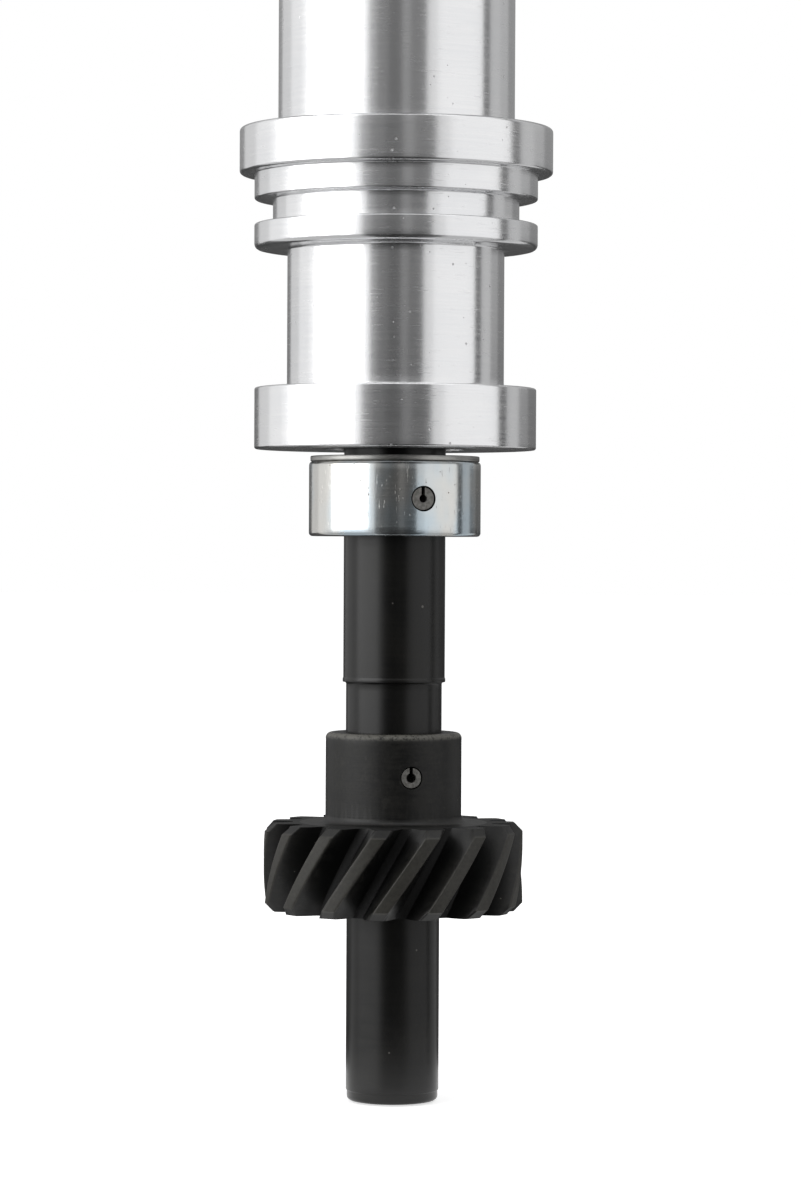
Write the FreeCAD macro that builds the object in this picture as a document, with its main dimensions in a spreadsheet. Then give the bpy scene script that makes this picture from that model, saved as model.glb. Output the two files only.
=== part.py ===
import FreeCAD, Part
import Sketcher
import math
import os
import re

# Ignition distributor for a V8: a turned aluminium housing with a mounting flange, a steel shaft
# with collar and helical drive gear below, and the centrifugal advance, magnetic trigger, rotor
# and cap above. Millimetres, +Z up along the shaft, origin on the axis at the flange's underside.
# The front of the distributor faces -Y.

doc = FreeCAD.newDocument("IgnitionDistributor")
sheet = doc.addObject("Spreadsheet::Sheet", "Sizes")
TURN = 360.0
UPRIGHT = FreeCAD.Placement(FreeCAD.Vector(0, 0, 0), FreeCAD.Rotation(FreeCAD.Vector(0, 0, 1), 1))

# Each row is one size that can be set by itself.
sizes = {
    # housing, from the flange down
    "flange_radius": 21.8,
    "flange_thick": 6.35,
    "flange_edge": 0.45,
    "register_radius": 19.72,
    "ring_width": 3.5,
    "ring_lead": 0.5,
    "seal_groove_width": 3.43,
    "seal_groove_radius": 17.15,
    "shank_radius": 15.1,
    "shank_length": 19.19,
    "pilot_radius": 19.62,
    "pilot_length": 8.55,
    "pilot_edge": 0.2,
    # housing, from the flange up
    "tube_radius": 16.45,
    "tube_length": 31.5,
    "bore_radius": 11.5,
    "flare_radius": 23.0,
    "flare_height": 5.5,
    "flare_round": 4.0,
    "bowl_wall": 3.0,
    "bowl_corner": 4.0,
    "bowl_room": 1.4,
    "rim_rise": 6.8,
    "under_slope": 2.5,
    "rim_edge": 0.5,
    "ledge_rise": 3.5,
    "ledge_width": 3.0,
    "boss_inset": 5.5,
    "boss_radius": 3.6,
    "boss_count": 3,
    "boss_angle": 30.0,
    "ear_reach": 5.0,
    "ear_radius": 5.5,
    "ear_height": 10.0,
    "ear_slope": 3.0,
    # bushing, ball bearing and snap ring
    "bushing_wall": 2.4,
    "bushing_length": 57.0,
    "bushing_inset": 1.0,
    "bearing_rise": 3.0,
    "bearing_width": 8.0,
    "bearing_outer_radius": 14.0,
    "ball_count": 8,
    "ball_clearance": 0.04,
    "cage_rim": 0.8,
    "snap_thick": 1.0,
    "snap_depth": 0.75,
    "snap_width": 2.3,
    "snap_gap": 8.0,
    "floor_rise": 2.0,
    # shaft, collar, washer, gear
    "shaft_radius": 7.075,
    "journal_radius": 6.0,
    "running": 0.04,
    "end_gap": 0.93,
    "washer_thick": 0.75,
    "washer_radius": 11.78,
    "washer_clearance": 0.15,
    "collar_length": 10.4,
    "collar_radius": 11.965,
    "collar_edge": 0.45,
    "collar_pin_drop": 5.25,
    "collar_pin_radius": 1.55,
    "collar_pin_hole": 0.55,
    "collar_pin_angle": 19.4,
    "step_drop": 20.25,
    "step_edge": 0.25,
    "neck_radius": 6.67,
    "neck_length": 7.0,
    "hub_radius": 9.48,
    "hub_length": 12.55,
    "hub_round": 0.8,
    "hub_foot": 1.0,
    "gear_face": 12.25,
    "gear_radius": 18.05,
    "tooth_count": 15,
    "tooth_module": 1.8143,
    "tooth_chamfer": 1.15,
    "gear_lead": 159.3,
    "gear_turn": -1.5,
    "gear_pin_drop": 5.9,
    "gear_pin_radius": 1.4,
    "gear_pin_hole": 0.68,
    "gear_pin_angle": 15.4,
    "pin_recess": 0.25,
    "pin_slot": 0.5,
    "tail_radius": 6.48,
    "tail_length": 26.5,
    "tail_end_length": 1.4,
    "tail_relief": 0.14,
    "socket_flats": 7.94,
    "socket_depth": 16.0,
    "shaft_edge": 0.5,
    # centrifugal advance
    "base_rise": 3.0,
    "base_thick": 2.5,
    "base_radius": 27.0,
    "base_hub_radius": 8.0,
    "pivot_circle": 21.0,
    "pivot_radius": 2.5,
    "clip_radius": 3.9,
    "weight_gap": 0.3,
    "weight_thick": 6.0,
    "weight_outer": 23.0,
    "weight_inner": 14.0,
    "weight_eye": 5.2,
    "weight_start": 14.0,
    "weight_sweep": 86.0,
    "drive_circle": 11.6,
    "drive_radius": 1.75,
    "drive_nose": 3.2,
    "advance_angle": 10.5,
    "cam_thick": 2.0,
    "cam_hub_radius": 9.0,
    "cam_radius": 16.6,
    "slot_clearance": 0.15,
    "slot_travel": 0.15,
    "post_circle": 14.0,
    "post_angle": 60.0,
    "post_radius": 1.5,
    "spring_rise": 2.9,
    "spring_coil": 2.1,
    "spring_wire": 0.6,
    "spring_turns": 9,
    "clip_thick": 0.7,
    "clip_depth": 0.9,
    "stop_circle": 14.2,
    "stop_angle": 135.0,
    "stop_radius": 2.2,
    "stop_pin_radius": 1.4,
    "sleeve_foot_radius": 7.4,
    "sleeve_over": 2.5,
    "sleeve_cup": 4.4,
    "sleeve_cup_radius": 7.9,
    "key_width": 2.6,
    "key_height": 3.0,
    "felt_thick": 1.8,
    # trigger
    "plate_thick": 2.2,
    "plate_hole": 13.0,
    "plate_fit": 0.1,
    "screw_radius": 1.95,
    "screw_head": 3.4,
    "screw_head_height": 2.2,
    "screw_length": 8.0,
    "small_screw_radius": 1.45,
    "small_screw_head": 2.5,
    "small_screw_head_height": 1.8,
    "reluctor_rise": 2.0,
    "reluctor_height": 8.0,
    "reluctor_radius": 17.0,
    "reluctor_root": 12.6,
    "reluctor_points": 8,
    "reluctor_tip": 3.0,
    "pickup_angle": 90.0,
    "air_gap": 0.5,
    "core_radius": 2.2,
    "coil_radius": 5.4,
    "coil_length": 9.0,
    "coil_flange": 1.2,
    "magnet_length": 4.0,
    "bracket_thick": 1.5,
    "bracket_width": 20.0,
    "lead_angle": 40.0,
    "lead_hole": 4.6,
    "lead_bore": 3.2,
    "grommet_lip": 1.6,
    # rotor, cap, terminals and brush
    "rotor_hub": 12.0,
    "rotor_hub_drop": 6.5,
    "rotor_disc": 22.0,
    "rotor_disc_thick": 3.0,
    "rotor_block": 5.0,
    "rotor_width": 11.0,
    "contact_thick": 1.2,
    "contact_width": 8.0,
    "contact_drop": 2.4,
    "contact_tip": 1.6,
    "rotor_angle": -67.5,
    "spark_gap": 0.6,
    "cap_foot": 6.0,
    "cap_foot_step": 1.2,
    "cap_height": 31.0,
    "cap_wall": 3.0,
    "cap_deck": 4.0,
    "cap_taper": 1.2,
    "cap_round": 4.0,
    "cap_spigot": 3.0,
    "cap_fit": 0.1,
    "tower_count": 8,
    "tower_circle": 29.0,
    "tower_angle": 22.5,
    "tower_base": 7.6,
    "tower_top": 6.2,
    "tower_height": 19.0,
    "coil_tower_base": 9.0,
    "coil_tower_top": 7.6,
    "coil_tower_height": 22.0,
    "rib_width": 2.4,
    "rib_height": 5.0,
    "terminal_radius": 3.2,
    "terminal_neck": 2.2,
    "terminal_neck_length": 2.6,
    "terminal_head": 5.4,
    "terminal_below": 3.2,
    "cap_boss_radius": 7.6,
    "brush_out": 5.25,
    "brush_radius": 2.5,
    "brush_length": 11.0,
    "brush_socket_wall": 1.6,
    "brush_spring_length": 9.0,
    "brush_spring_turns": 6,
    "cap_screw_radius": 2.4,
    "cap_screw_head": 4.4,
    "cap_screw_head_height": 3.6,
    "cap_screw_length": 14.0,
    "close_fit": 0.08,
}

# Levels and radii that follow from the sizes above.
levels = {
    "groove_top": "-ring_width",
    "groove_low": "groove_top - seal_groove_width",
    "ring_low": "groove_low - ring_width",
    "shank_low": "ring_low - shank_length",
    "pilot_low": "shank_low - pilot_length",
    "tube_top": "flange_thick + tube_length",
    "flare_top": "tube_top + flare_height",
    "under_top": "flare_top + under_slope",
    "core_tip": "reluctor_radius + air_gap",
    "coil_start": "core_tip + 1.2",
    "magnet_start": "coil_start + coil_length",
    "magnet_end": "magnet_start + magnet_length",
    "bracket_end": "magnet_end + 2 * small_screw_head + 1.9",
    "bowl_bore": "bracket_end + bowl_room",
    "bowl_radius": "bowl_bore + bowl_wall",
    "ledge_radius": "bowl_bore - ledge_width",
    "bearing_low": "tube_top + bearing_rise",
    "bearing_top": "bearing_low + bearing_width",
    "bearing_mid": "bearing_low + bearing_width / 2",
    "snap_top": "bearing_top + snap_thick + 0.1",
    "floor_top": "bearing_top + floor_rise",
    "bushing_radius": "shaft_radius + running + bushing_wall",
    "bushing_low": "pilot_low + bushing_inset",
    "bushing_top": "bushing_low + bushing_length",
    "ball_circle": "(journal_radius + bearing_outer_radius) / 2",
    "bearing_space": "bearing_outer_radius - journal_radius",
    "race_wall": "0.3 * bearing_space",
    "ball_radius": "0.294 * bearing_space",
    "cage_wall": "0.16 * bearing_space",
    "washer_top": "pilot_low - end_gap",
    "collar_top": "washer_top - washer_thick",
    "collar_low": "collar_top - collar_length",
    "collar_pin_level": "collar_top - collar_pin_drop",
    "step_level": "collar_low - step_drop",
    "hub_top": "step_level - neck_length",
    "gear_top": "hub_top - hub_length",
    "gear_low": "gear_top - gear_face",
    "gear_pin_level": "hub_top - gear_pin_drop",
    "gear_pitch": "gear_radius - tooth_module",
    "gear_root": "gear_radius - 2.25 * tooth_module",
    "gap_half": "gear_lead / tooth_count / 4",
    "gap_run": "gap_half * 1.95",
    "gap_level": "gear_low - gap_run",
    "tail_low": "gear_low - tail_length",
    "tail_end_radius": "tail_radius - tail_relief",
    "base_low": "floor_top + base_rise",
    "base_top": "base_low + base_thick",
    "weight_low": "base_top + weight_gap",
    "weight_top": "weight_low + weight_thick",
    "cam_low": "weight_top + weight_gap",
    "cam_top": "cam_low + cam_thick",
    "spring_level": "cam_top + spring_rise",
    "drive_angle": "-advance_angle / 2",
    "ledge_top": "spring_level + post_radius + ledge_rise",
    "ledge_height": "ledge_top - floor_top",
    "plate_top": "ledge_top + plate_thick",
    "reluctor_low": "plate_top + reluctor_rise",
    "reluctor_top": "reluctor_low + reluctor_height",
    "bowl_top": "reluctor_top + rim_rise",
    "lead_level": "(plate_top + bowl_top - cap_spigot) / 2",
    "trigger_level": "reluctor_low + reluctor_height / 2",
    "lead_inner": "sqrt(bowl_bore ^ 2 - (lead_hole + 1.4) ^ 2)",
    "sleeve_top": "bowl_top + sleeve_over",
    "cup_low": "sleeve_top - sleeve_cup",
    "shaft_top": "sleeve_top - felt_thick - 0.2",
    "clip_low": "cup_low + 0.1",
    "clip_top": "clip_low + clip_thick",
    "socket_outer": "brush_radius + running + brush_socket_wall",
    "rotor_low": "sleeve_top - rotor_hub_drop",
    "disc_top": "sleeve_top + rotor_disc_thick",
    "contact_low": "disc_top + rotor_block",
    "contact_top": "contact_low + contact_thick",
    "contact_reach": "tower_circle - terminal_radius - spark_gap",
    "boss_circle": "bowl_bore - boss_inset",
    "ear_circle": "bowl_radius + ear_reach - 1",
    "cap_under": "bowl_top + cap_height - cap_deck",
    "cap_top": "bowl_top + cap_height",
    "cap_side": "bowl_radius - cap_foot_step",
    "cap_shoulder": "cap_side - cap_taper",
    "cap_inner": "bowl_bore - cap_fit - cap_wall",
    "cap_foot_top": "bowl_top + cap_foot",
    "tower_top_level": "cap_top + tower_height",
    "coil_tower_level": "cap_top + coil_tower_height",
    "terminal_low": "contact_low - contact_drop - terminal_below + 2",
    "brush_low": "contact_top + 0.05",
    "brush_top": "brush_low + brush_length",
    "brush_socket_top": "brush_top + brush_spring_length",
    "cap_boss_low": "brush_low + brush_out",
}

names = list(sizes) + list(levels)


def formula(text):
    """A formula in the sheet's words, written the way objects outside the sheet read it."""
    return re.sub(r"[a-z]\w+", lambda m: "Sizes." + m[0] if m[0] in names else m[0], str(text))


row = 0
for name, value in sizes.items():
    row += 1
    sheet.set(f"A{row}", name)
    sheet.set(f"B{row}", str(value))
    sheet.setAlias(f"B{row}", name)
for name, text in levels.items():
    row += 1
    sheet.set(f"A{row}", name)
    sheet.set(f"B{row}", "=" + text)
    sheet.setAlias(f"B{row}", name)
doc.recompute()


def size(name):
    """The present value of one named size or level."""
    return 0.0 if name == "0" else float(sheet.get(name))


def bind(item, prop, text):
    item.setExpression(prop, formula(text))


def body_of(label):
    body = doc.addObject("PartDesign::Body", label)
    body.Label = label
    return body


def draw_on(body, role, lift="0", turn=None):
    """A sketch on one of the body's own origin planes, lifted along its normal, turned about Z."""
    drawing = body.newObject("Sketcher::SketchObject", body.Name + "_sketch")
    plane = next(f for f in body.Origin.OriginFeatures if f.Role == role)
    drawing.AttachmentSupport = [(plane, "")]
    drawing.MapMode = "FlatFace"
    if turn is not None:
        axis = FreeCAD.Vector(0, 0, 1) if role == "XY_Plane" else FreeCAD.Vector(0, 1, 0)
        upright = FreeCAD.Rotation(axis, 1)
        drawing.AttachmentOffset = FreeCAD.Placement(FreeCAD.Vector(0, 0, 0), upright)
        bind(drawing, "AttachmentOffset.Rotation.Angle", f"({turn}) * 1 deg")
    bind(drawing, "AttachmentOffset.Base.z", lift)
    return drawing


def pin_down(drawing, kind, index, point, text):
    number = drawing.addConstraint(Sketcher.Constraint(kind, -1, 1, index, point, 1.0))
    drawing.setExpression(f"Constraints[{number}]", formula(text))


def outline(drawing, corners):
    """A closed outline through corners whose places are formulas in the sheet's words."""
    first = drawing.GeometryCount
    count = len(corners)
    rough = []
    for i in range(count):
        angle = 2 * math.pi * i / count
        rough.append(FreeCAD.Vector(20 + 10 * math.cos(angle), 10 * math.sin(angle), 0))
    for i in range(count):
        drawing.addGeometry(Part.LineSegment(rough[i], rough[(i + 1) % count]))
    for i in range(count):
        after = first + (i + 1) % count
        drawing.addConstraint(Sketcher.Constraint("Coincident", first + i, 2, after, 1))
    for i, (across, up) in enumerate(corners):
        pin_down(drawing, "DistanceX", first + i, 1, across)
        pin_down(drawing, "DistanceY", first + i, 1, up)


def circle(drawing, across, up, radius):
    centre = FreeCAD.Vector(1, 1, 0)
    index = drawing.addGeometry(Part.Circle(centre, FreeCAD.Vector(0, 0, 1), 1))
    pin_down(drawing, "DistanceX", index, 3, across)
    pin_down(drawing, "DistanceY", index, 3, up)
    number = drawing.addConstraint(Sketcher.Constraint("Radius", index, 1.0))
    drawing.setExpression(f"Constraints[{number}]", formula(radius))


def box_outline(drawing, left, right, low, high):
    outline(drawing, [(left, low), (right, low), (right, high), (left, high)])


def spin(body, drawing, cut=False):
    kind = "PartDesign::Groove" if cut else "PartDesign::Revolution"
    feature = body.newObject(kind, body.Name + ("_groove" if cut else "_turned"))
    feature.Profile = drawing
    feature.ReferenceAxis = (drawing, ["V_Axis"])
    feature.Angle = TURN
    return feature


def turned(label, corners):
    """A body turned about Z from half of its section, given as radius and height."""
    body = body_of(label)
    drawing = draw_on(body, "XZ_Plane")
    outline(drawing, corners)
    spin(body, drawing)
    return body


def ring(label, inner, outer, low, high):
    return turned(label, [(inner, low), (outer, low), (outer, high), (inner, high)])


def pad(body, drawing, length, backwards=False, taper=None, both=False):
    feature = body.newObject("PartDesign::Pad", body.Name + "_pad")
    feature.Profile = drawing
    feature.Reversed = backwards
    feature.Midplane = both
    bind(feature, "Length", length)
    if taper is not None:
        bind(feature, "TaperAngle", taper)
    return feature


def pocket(body, drawing, length, backwards=False, both=False):
    """A pocket, which goes against the sketch's normal, or along it when backwards."""
    doc.recompute()
    before = body.Shape.Volume
    feature = body.newObject("PartDesign::Pocket", body.Name + "_pocket")
    feature.Profile = drawing
    feature.Reversed = backwards
    feature.Midplane = both
    bind(feature, "Length", length)
    doc.recompute()
    if body.Shape.Volume >= before:
        raise ValueError(f"{body.Label}: a pocket cuts nothing")
    return feature


def around(body, features, count):
    """The features repeated evenly about Z."""
    feature = body.newObject("PartDesign::PolarPattern", body.Name + "_pattern")
    feature.Originals = features
    feature.Axis = (next(f for f in body.Origin.OriginFeatures if f.Role == "Z_Axis"), [""])
    feature.Angle = TURN
    bind(feature, "Occurrences", count)
    body.Tip = feature
    return feature


def rims(body, wanted):
    """Names of the body's round edges about Z that have one of the given radii and heights."""
    found = []
    for number, edge in enumerate(body.Shape.Edges, 1):
        curve = edge.Curve
        if not isinstance(curve, Part.Circle) or abs(curve.Axis.z) < 0.99:
            continue
        if math.hypot(curve.Center.x, curve.Center.y) > 0.001:
            continue
        for radius, level in wanted:
            if abs(curve.Radius - radius) < 0.001 and abs(curve.Center.z - level) < 0.001:
                found.append(f"Edge{number}")
    if not found:
        raise ValueError(f"{body.Label}: no such edge")
    return found


def soften(body, wanted, amount, round_over=False):
    """Chamfers, or rounds, the body's round edges at the given pairs of radius and height."""
    doc.recompute()
    tip = body.Tip
    kind = "Fillet" if round_over else "Chamfer"
    feature = body.newObject("PartDesign::" + kind, f"{body.Name}_{kind.lower()}")
    feature.Base = (tip, rims(body, [(size(r), size(z)) for r, z in wanted]))
    bind(feature, "Radius" if round_over else "Size", amount)
    return feature


# Housing: tube, flange, two register rings with the seal groove between them, shank and lower
# pilot flange are turned from one bar of aluminium, and so is the bowl above. They are three nodes:
# the housing, the bowl's floor and the bowl's wall meet in flat rings.
housing = turned("housing", [
    ("bushing_radius", "pilot_low"), ("pilot_radius", "pilot_low"),
    ("pilot_radius", "shank_low"), ("shank_radius", "shank_low"),
    ("shank_radius", "ring_low"), ("register_radius", "ring_low"),
    ("register_radius", "groove_low"), ("seal_groove_radius", "groove_low"),
    ("seal_groove_radius", "groove_top"), ("register_radius", "groove_top"),
    ("register_radius", "0"), ("flange_radius", "0"),
    ("flange_radius", "flange_thick"), ("tube_radius", "flange_thick"),
    ("tube_radius", "tube_top"), ("flare_radius", "flare_top"),
    ("bearing_outer_radius", "flare_top"), ("bearing_outer_radius", "bearing_low"),
    ("bore_radius", "bearing_low"), ("bore_radius", "bushing_top"),
    ("bushing_radius", "bushing_top"),
])
soften(housing, [("tube_radius", "tube_top")], "flare_round", round_over=True)
soften(housing, [("register_radius", "ring_low")], "ring_lead", round_over=True)
soften(housing, [("flange_radius", "0"), ("flange_radius", "flange_thick")], "flange_edge")
soften(housing, [("pilot_radius", "pilot_low"), ("pilot_radius", "shank_low")], "pilot_edge")

# Bowl's floor, with the bearing's seat and the snap ring's groove.
bowl_floor = turned("bowl_floor", [
    ("bearing_outer_radius", "flare_top"), ("flare_radius", "flare_top"),
    ("bowl_radius", "under_top"), ("bowl_radius", "floor_top"),
    ("bearing_outer_radius", "floor_top"), ("bearing_outer_radius", "snap_top"),
    ("bearing_outer_radius + snap_depth", "snap_top"),
    ("bearing_outer_radius + snap_depth", "bearing_top"),
    ("bearing_outer_radius", "bearing_top"),
])
soften(bowl_floor, [("bowl_radius", "under_top")], "bowl_corner", round_over=True)

# Bowl's wall, with a ledge for the pickup plate. Two ears on its rim take the cap's screws. Their
# undersides slope back into the wall.
bowl_wall = turned("bowl_wall", [
    ("ledge_radius", "floor_top"), ("bowl_radius", "floor_top"),
    ("bowl_radius", "bowl_top"), ("bowl_bore", "bowl_top"),
    ("bowl_bore", "ledge_top"), ("ledge_radius", "ledge_top"),
])
soften(bowl_wall, [("bowl_radius", "bowl_top")], "flange_edge")
drawing = draw_on(bowl_wall, "XZ_Plane")
outline(drawing, [
    ("bowl_bore + 1.5", "bowl_top"), ("bowl_bore + 1.5", "bowl_top - ear_height - ear_slope"),
    ("ear_circle", "bowl_top - ear_height"), ("ear_circle", "bowl_top"),
])
ear = pad(bowl_wall, drawing, "2 * ear_radius", both=True)
drawing = draw_on(bowl_wall, "XY_Plane", "bowl_top - ear_height")
circle(drawing, "ear_circle", "0", "ear_radius")
nose = pad(bowl_wall, drawing, "ear_height")
drawing = draw_on(bowl_wall, "XY_Plane", "bowl_top")
circle(drawing, "ear_circle", "0", "cap_screw_radius + close_fit")
screw_hole = pocket(bowl_wall, drawing, "ear_height - 1")
around(bowl_wall, [ear, nose, screw_hole], "2")
# Three bosses inside the wall carry the pickup plate's screws.
drawing = draw_on(bowl_wall, "XY_Plane", "floor_top", turn="boss_angle")
circle(drawing, "boss_circle", "0", "boss_radius")
boss = pad(bowl_wall, drawing, "ledge_height")
drawing = draw_on(bowl_wall, "XY_Plane", "ledge_top", turn="boss_angle")
circle(drawing, "boss_circle", "0", "screw_radius")
boss_hole = pocket(bowl_wall, drawing, "screw_length + 1")
around(bowl_wall, [boss, boss_hole], "boss_count")
# The hole in the wall for the trigger lead's grommet.
drawing = draw_on(bowl_wall, "YZ_Plane", turn="lead_angle")
circle(drawing, "0", "lead_level", "lead_hole")
pocket(bowl_wall, drawing, "bowl_radius + 1", backwards=True)

# Long bronze bushing in the shank and tube.
lower_bushing = ring(
    "lower_bushing", "shaft_radius + running", "bushing_radius", "bushing_low", "bushing_top"
)

# Ball bearing under the bowl's floor: two grooved races, balls and cage, held by a snap ring.
outer_race = ring(
    "bearing_outer_race", "bearing_outer_radius - race_wall", "bearing_outer_radius",
    "bearing_low", "bearing_top",
)
inner_race = ring(
    "bearing_inner_race", "journal_radius", "journal_radius + race_wall",
    "bearing_low", "bearing_top",
)
for race in (outer_race, inner_race):
    drawing = draw_on(race, "XZ_Plane")
    circle(drawing, "ball_circle", "bearing_mid", "ball_radius + ball_clearance")
    spin(race, drawing, cut=True)
cage = ring(
    "bearing_cage", "ball_circle - cage_wall / 2", "ball_circle + cage_wall / 2",
    "bearing_mid - ball_radius - cage_rim", "bearing_mid + ball_radius + cage_rim",
)
drawing = draw_on(cage, "YZ_Plane")
circle(drawing, "0", "bearing_mid", "ball_radius + 0.1")
around(cage, [pocket(cage, drawing, "bearing_outer_radius", backwards=True)], "ball_count")
ball = doc.addObject("Part::Sphere", "ball")
bind(ball, "Radius", "ball_radius")
bind(ball, "Placement.Base.x", "ball_circle")
bind(ball, "Placement.Base.z", "bearing_mid")
snap_ring = ring(
    "bearing_snap_ring", "bearing_outer_radius + snap_depth - snap_width",
    "bearing_outer_radius + snap_depth", "bearing_top + 0.05", "bearing_top + 0.05 + snap_thick",
)
drawing = draw_on(snap_ring, "XY_Plane", "snap_top")
box_outline(drawing, "0", "bearing_outer_radius + 2", "-snap_gap / 2", "snap_gap / 2")
pocket(snap_ring, drawing, "snap_thick + 1")

# Main shaft: the hex socket in its tail drives the oil pump; collar and gear are pinned to it.
shaft = turned("main_shaft", [
    ("0", "tail_low"), ("tail_end_radius", "tail_low"),
    ("tail_radius", "tail_low + tail_end_length"), ("tail_radius", "gear_low"),
    ("neck_radius", "gear_low"), ("neck_radius", "step_level"),
    ("shaft_radius - step_edge", "step_level"), ("shaft_radius", "step_level + step_edge"),
    ("shaft_radius", "bearing_low"), ("journal_radius", "bearing_low"),
    ("journal_radius", "clip_low"), ("journal_radius - clip_depth", "clip_low"),
    ("journal_radius - clip_depth", "clip_top"), ("journal_radius", "clip_top"),
    ("journal_radius", "shaft_top - shaft_edge"), ("journal_radius - shaft_edge", "shaft_top"),
    ("0", "shaft_top"),
])
soften(shaft, [("tail_end_radius", "tail_low")], "shaft_edge", round_over=True)
drawing = draw_on(shaft, "XY_Plane", "tail_low")
across = "socket_flats / 2"
corner = "socket_flats / sqrt(3)"
outline(drawing, [
    (corner, "0"), (f"{corner} / 2", across), (f"-{corner} / 2", across),
    (f"-{corner}", "0"), (f"-{corner} / 2", f"-{across}"), (f"{corner} / 2", f"-{across}"),
])
pocket(shaft, drawing, "socket_depth", backwards=True)


def cross_hole(body, level, angle, radius):
    """A hole for a spring pin right through the body and its axis."""
    drawing = draw_on(body, "XZ_Plane", turn=angle)
    circle(drawing, "0", level, radius)
    pocket(body, drawing, "4 * collar_radius", both=True)


cross_hole(shaft, "collar_pin_level", "collar_pin_angle", "collar_pin_radius")
cross_hole(shaft, "gear_pin_level", "gear_pin_angle", "gear_pin_radius")

thrust_washer = ring(
    "thrust_washer", "shaft_radius + washer_clearance", "washer_radius", "collar_top", "washer_top"
)

collar = ring("collar", "shaft_radius", "collar_radius", "collar_low", "collar_top")
soften(
    collar, [("collar_radius", "collar_low"), ("collar_radius", "collar_top")], "collar_edge",
    round_over=True,
)
cross_hole(collar, "collar_pin_level", "collar_pin_angle", "collar_pin_radius")


def spring_pin(label, level, angle, radius, hole, reach):
    """A rolled pin: a tube with a slot along it, just short of the surface at both ends."""
    body = body_of(label)
    drawing = draw_on(body, "XZ_Plane", turn=angle)
    circle(drawing, "0", level, radius)
    circle(drawing, "0", level, hole)
    pad(body, drawing, f"2 * ({reach} - pin_recess)", both=True)
    drawing = draw_on(body, "XZ_Plane", turn=angle)
    box_outline(drawing, "-pin_slot / 2", "pin_slot / 2", level, f"{level} + 2 * {radius}")
    pocket(body, drawing, f"3 * {reach}", both=True)
    return body


spring_pin("collar_pin", "collar_pin_level", "collar_pin_angle", "collar_pin_radius",
           "collar_pin_hole", "collar_radius")
spring_pin("gear_pin", "gear_pin_level", "gear_pin_angle", "gear_pin_radius",
           "gear_pin_hole", "hub_radius")

# Drive gear: a turned blank with its hub, then one helical gap swept through it and repeated.
gear = turned("drive_gear", [
    ("neck_radius", "gear_low"), ("gear_radius - tooth_chamfer", "gear_low"),
    ("gear_radius", "gear_low + tooth_chamfer"), ("gear_radius", "gear_top - tooth_chamfer"),
    ("gear_radius - tooth_chamfer", "gear_top"), ("hub_radius", "gear_top"),
    ("hub_radius", "hub_top"), ("neck_radius", "hub_top"),
])
soften(gear, [("hub_radius", "hub_top")], "hub_round", round_over=True)
soften(gear, [("hub_radius", "gear_top")], "hub_foot", round_over=True)
cross_hole(gear, "gear_pin_level", "gear_pin_angle", "gear_pin_radius")
flank = [
    ("gear_root", 0.42), ("gear_root + 0.25 * tooth_module", 0.62), ("gear_pitch", 1.0),
    ("gear_pitch + 0.55 * tooth_module", 1.24), ("gear_radius + 0.4", 1.58),
]
drawing = draw_on(gear, "XZ_Plane", turn="gear_turn")
outline(
    drawing,
    [(radius, f"gap_level - {share} * gap_half") for radius, share in flank]
    + [(radius, f"gap_level + {share} * gap_half") for radius, share in reversed(flank)],
)
gap = gear.newObject("PartDesign::SubtractiveHelix", "tooth_gap")
gap.Profile = drawing
gap.ReferenceAxis = (drawing, ["V_Axis"])
gap.Mode = "pitch-height-angle"
bind(gap, "Pitch", "gear_lead")
bind(gap, "Height", "gear_face + 2 * gap_run")
around(gear, [gap], "tooth_count")


def place(item, across, angle, level="0"):
    """Moves a piece to a radius and an angle about the shaft's axis."""
    bind(item, "Placement.Base.x", f"({across}) * cos(({angle}) * 1 deg)")
    bind(item, "Placement.Base.y", f"({across}) * sin(({angle}) * 1 deg)")
    bind(item, "Placement.Base.z", level)


def swing(item, angle):
    """Turns a piece about the shaft's axis."""
    item.Placement = UPRIGHT
    bind(item, "Placement.Rotation.Angle", f"({angle}) * 1 deg")


def group(label, one, spots):
    """One node of equal, separate solids: the finished piece set at each spot."""
    doc.recompute()
    found = doc.addObject("Part::Feature", label)
    found.Label = label
    copies = []
    for spot in spots:
        copy = one.Shape.copy()
        copy.Placement = spot.multiply(copy.Placement)
        copies.append(copy)
    found.Shape = Part.makeCompound(copies)
    return found


def spots_around(count, start=0.0, radius=0.0):
    """Places spread evenly about the shaft's axis, at a radius from it."""
    spots = []
    for i in range(int(round(count))):
        turn = FreeCAD.Rotation(FreeCAD.Vector(0, 0, 1), start + TURN * i / count)
        spots.append(FreeCAD.Placement(turn.multVec(FreeCAD.Vector(radius, 0, 0)), turn))
    return spots


def screw(label, shank, head, head_height, length, seat):
    """A plain slotted screw standing on the axis, its head on the seat's level."""
    body = turned(label, [
        ("0", f"{seat} - {length}"), (shank, f"{seat} - {length}"), (shank, seat), (head, seat),
        (head, f"{seat} + {head_height}"), ("0", f"{seat} + {head_height}"),
    ])
    drawing = draw_on(body, "XY_Plane", f"{seat} + {head_height}")
    box_outline(drawing, f"-{head} - 1", f"{head} + 1", f"-{head} / 7", f"{head} / 7")
    pocket(body, drawing, f"{head_height} * 0.45")
    return body


group("bearing_balls", ball, spots_around(size("ball_count")))

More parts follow.
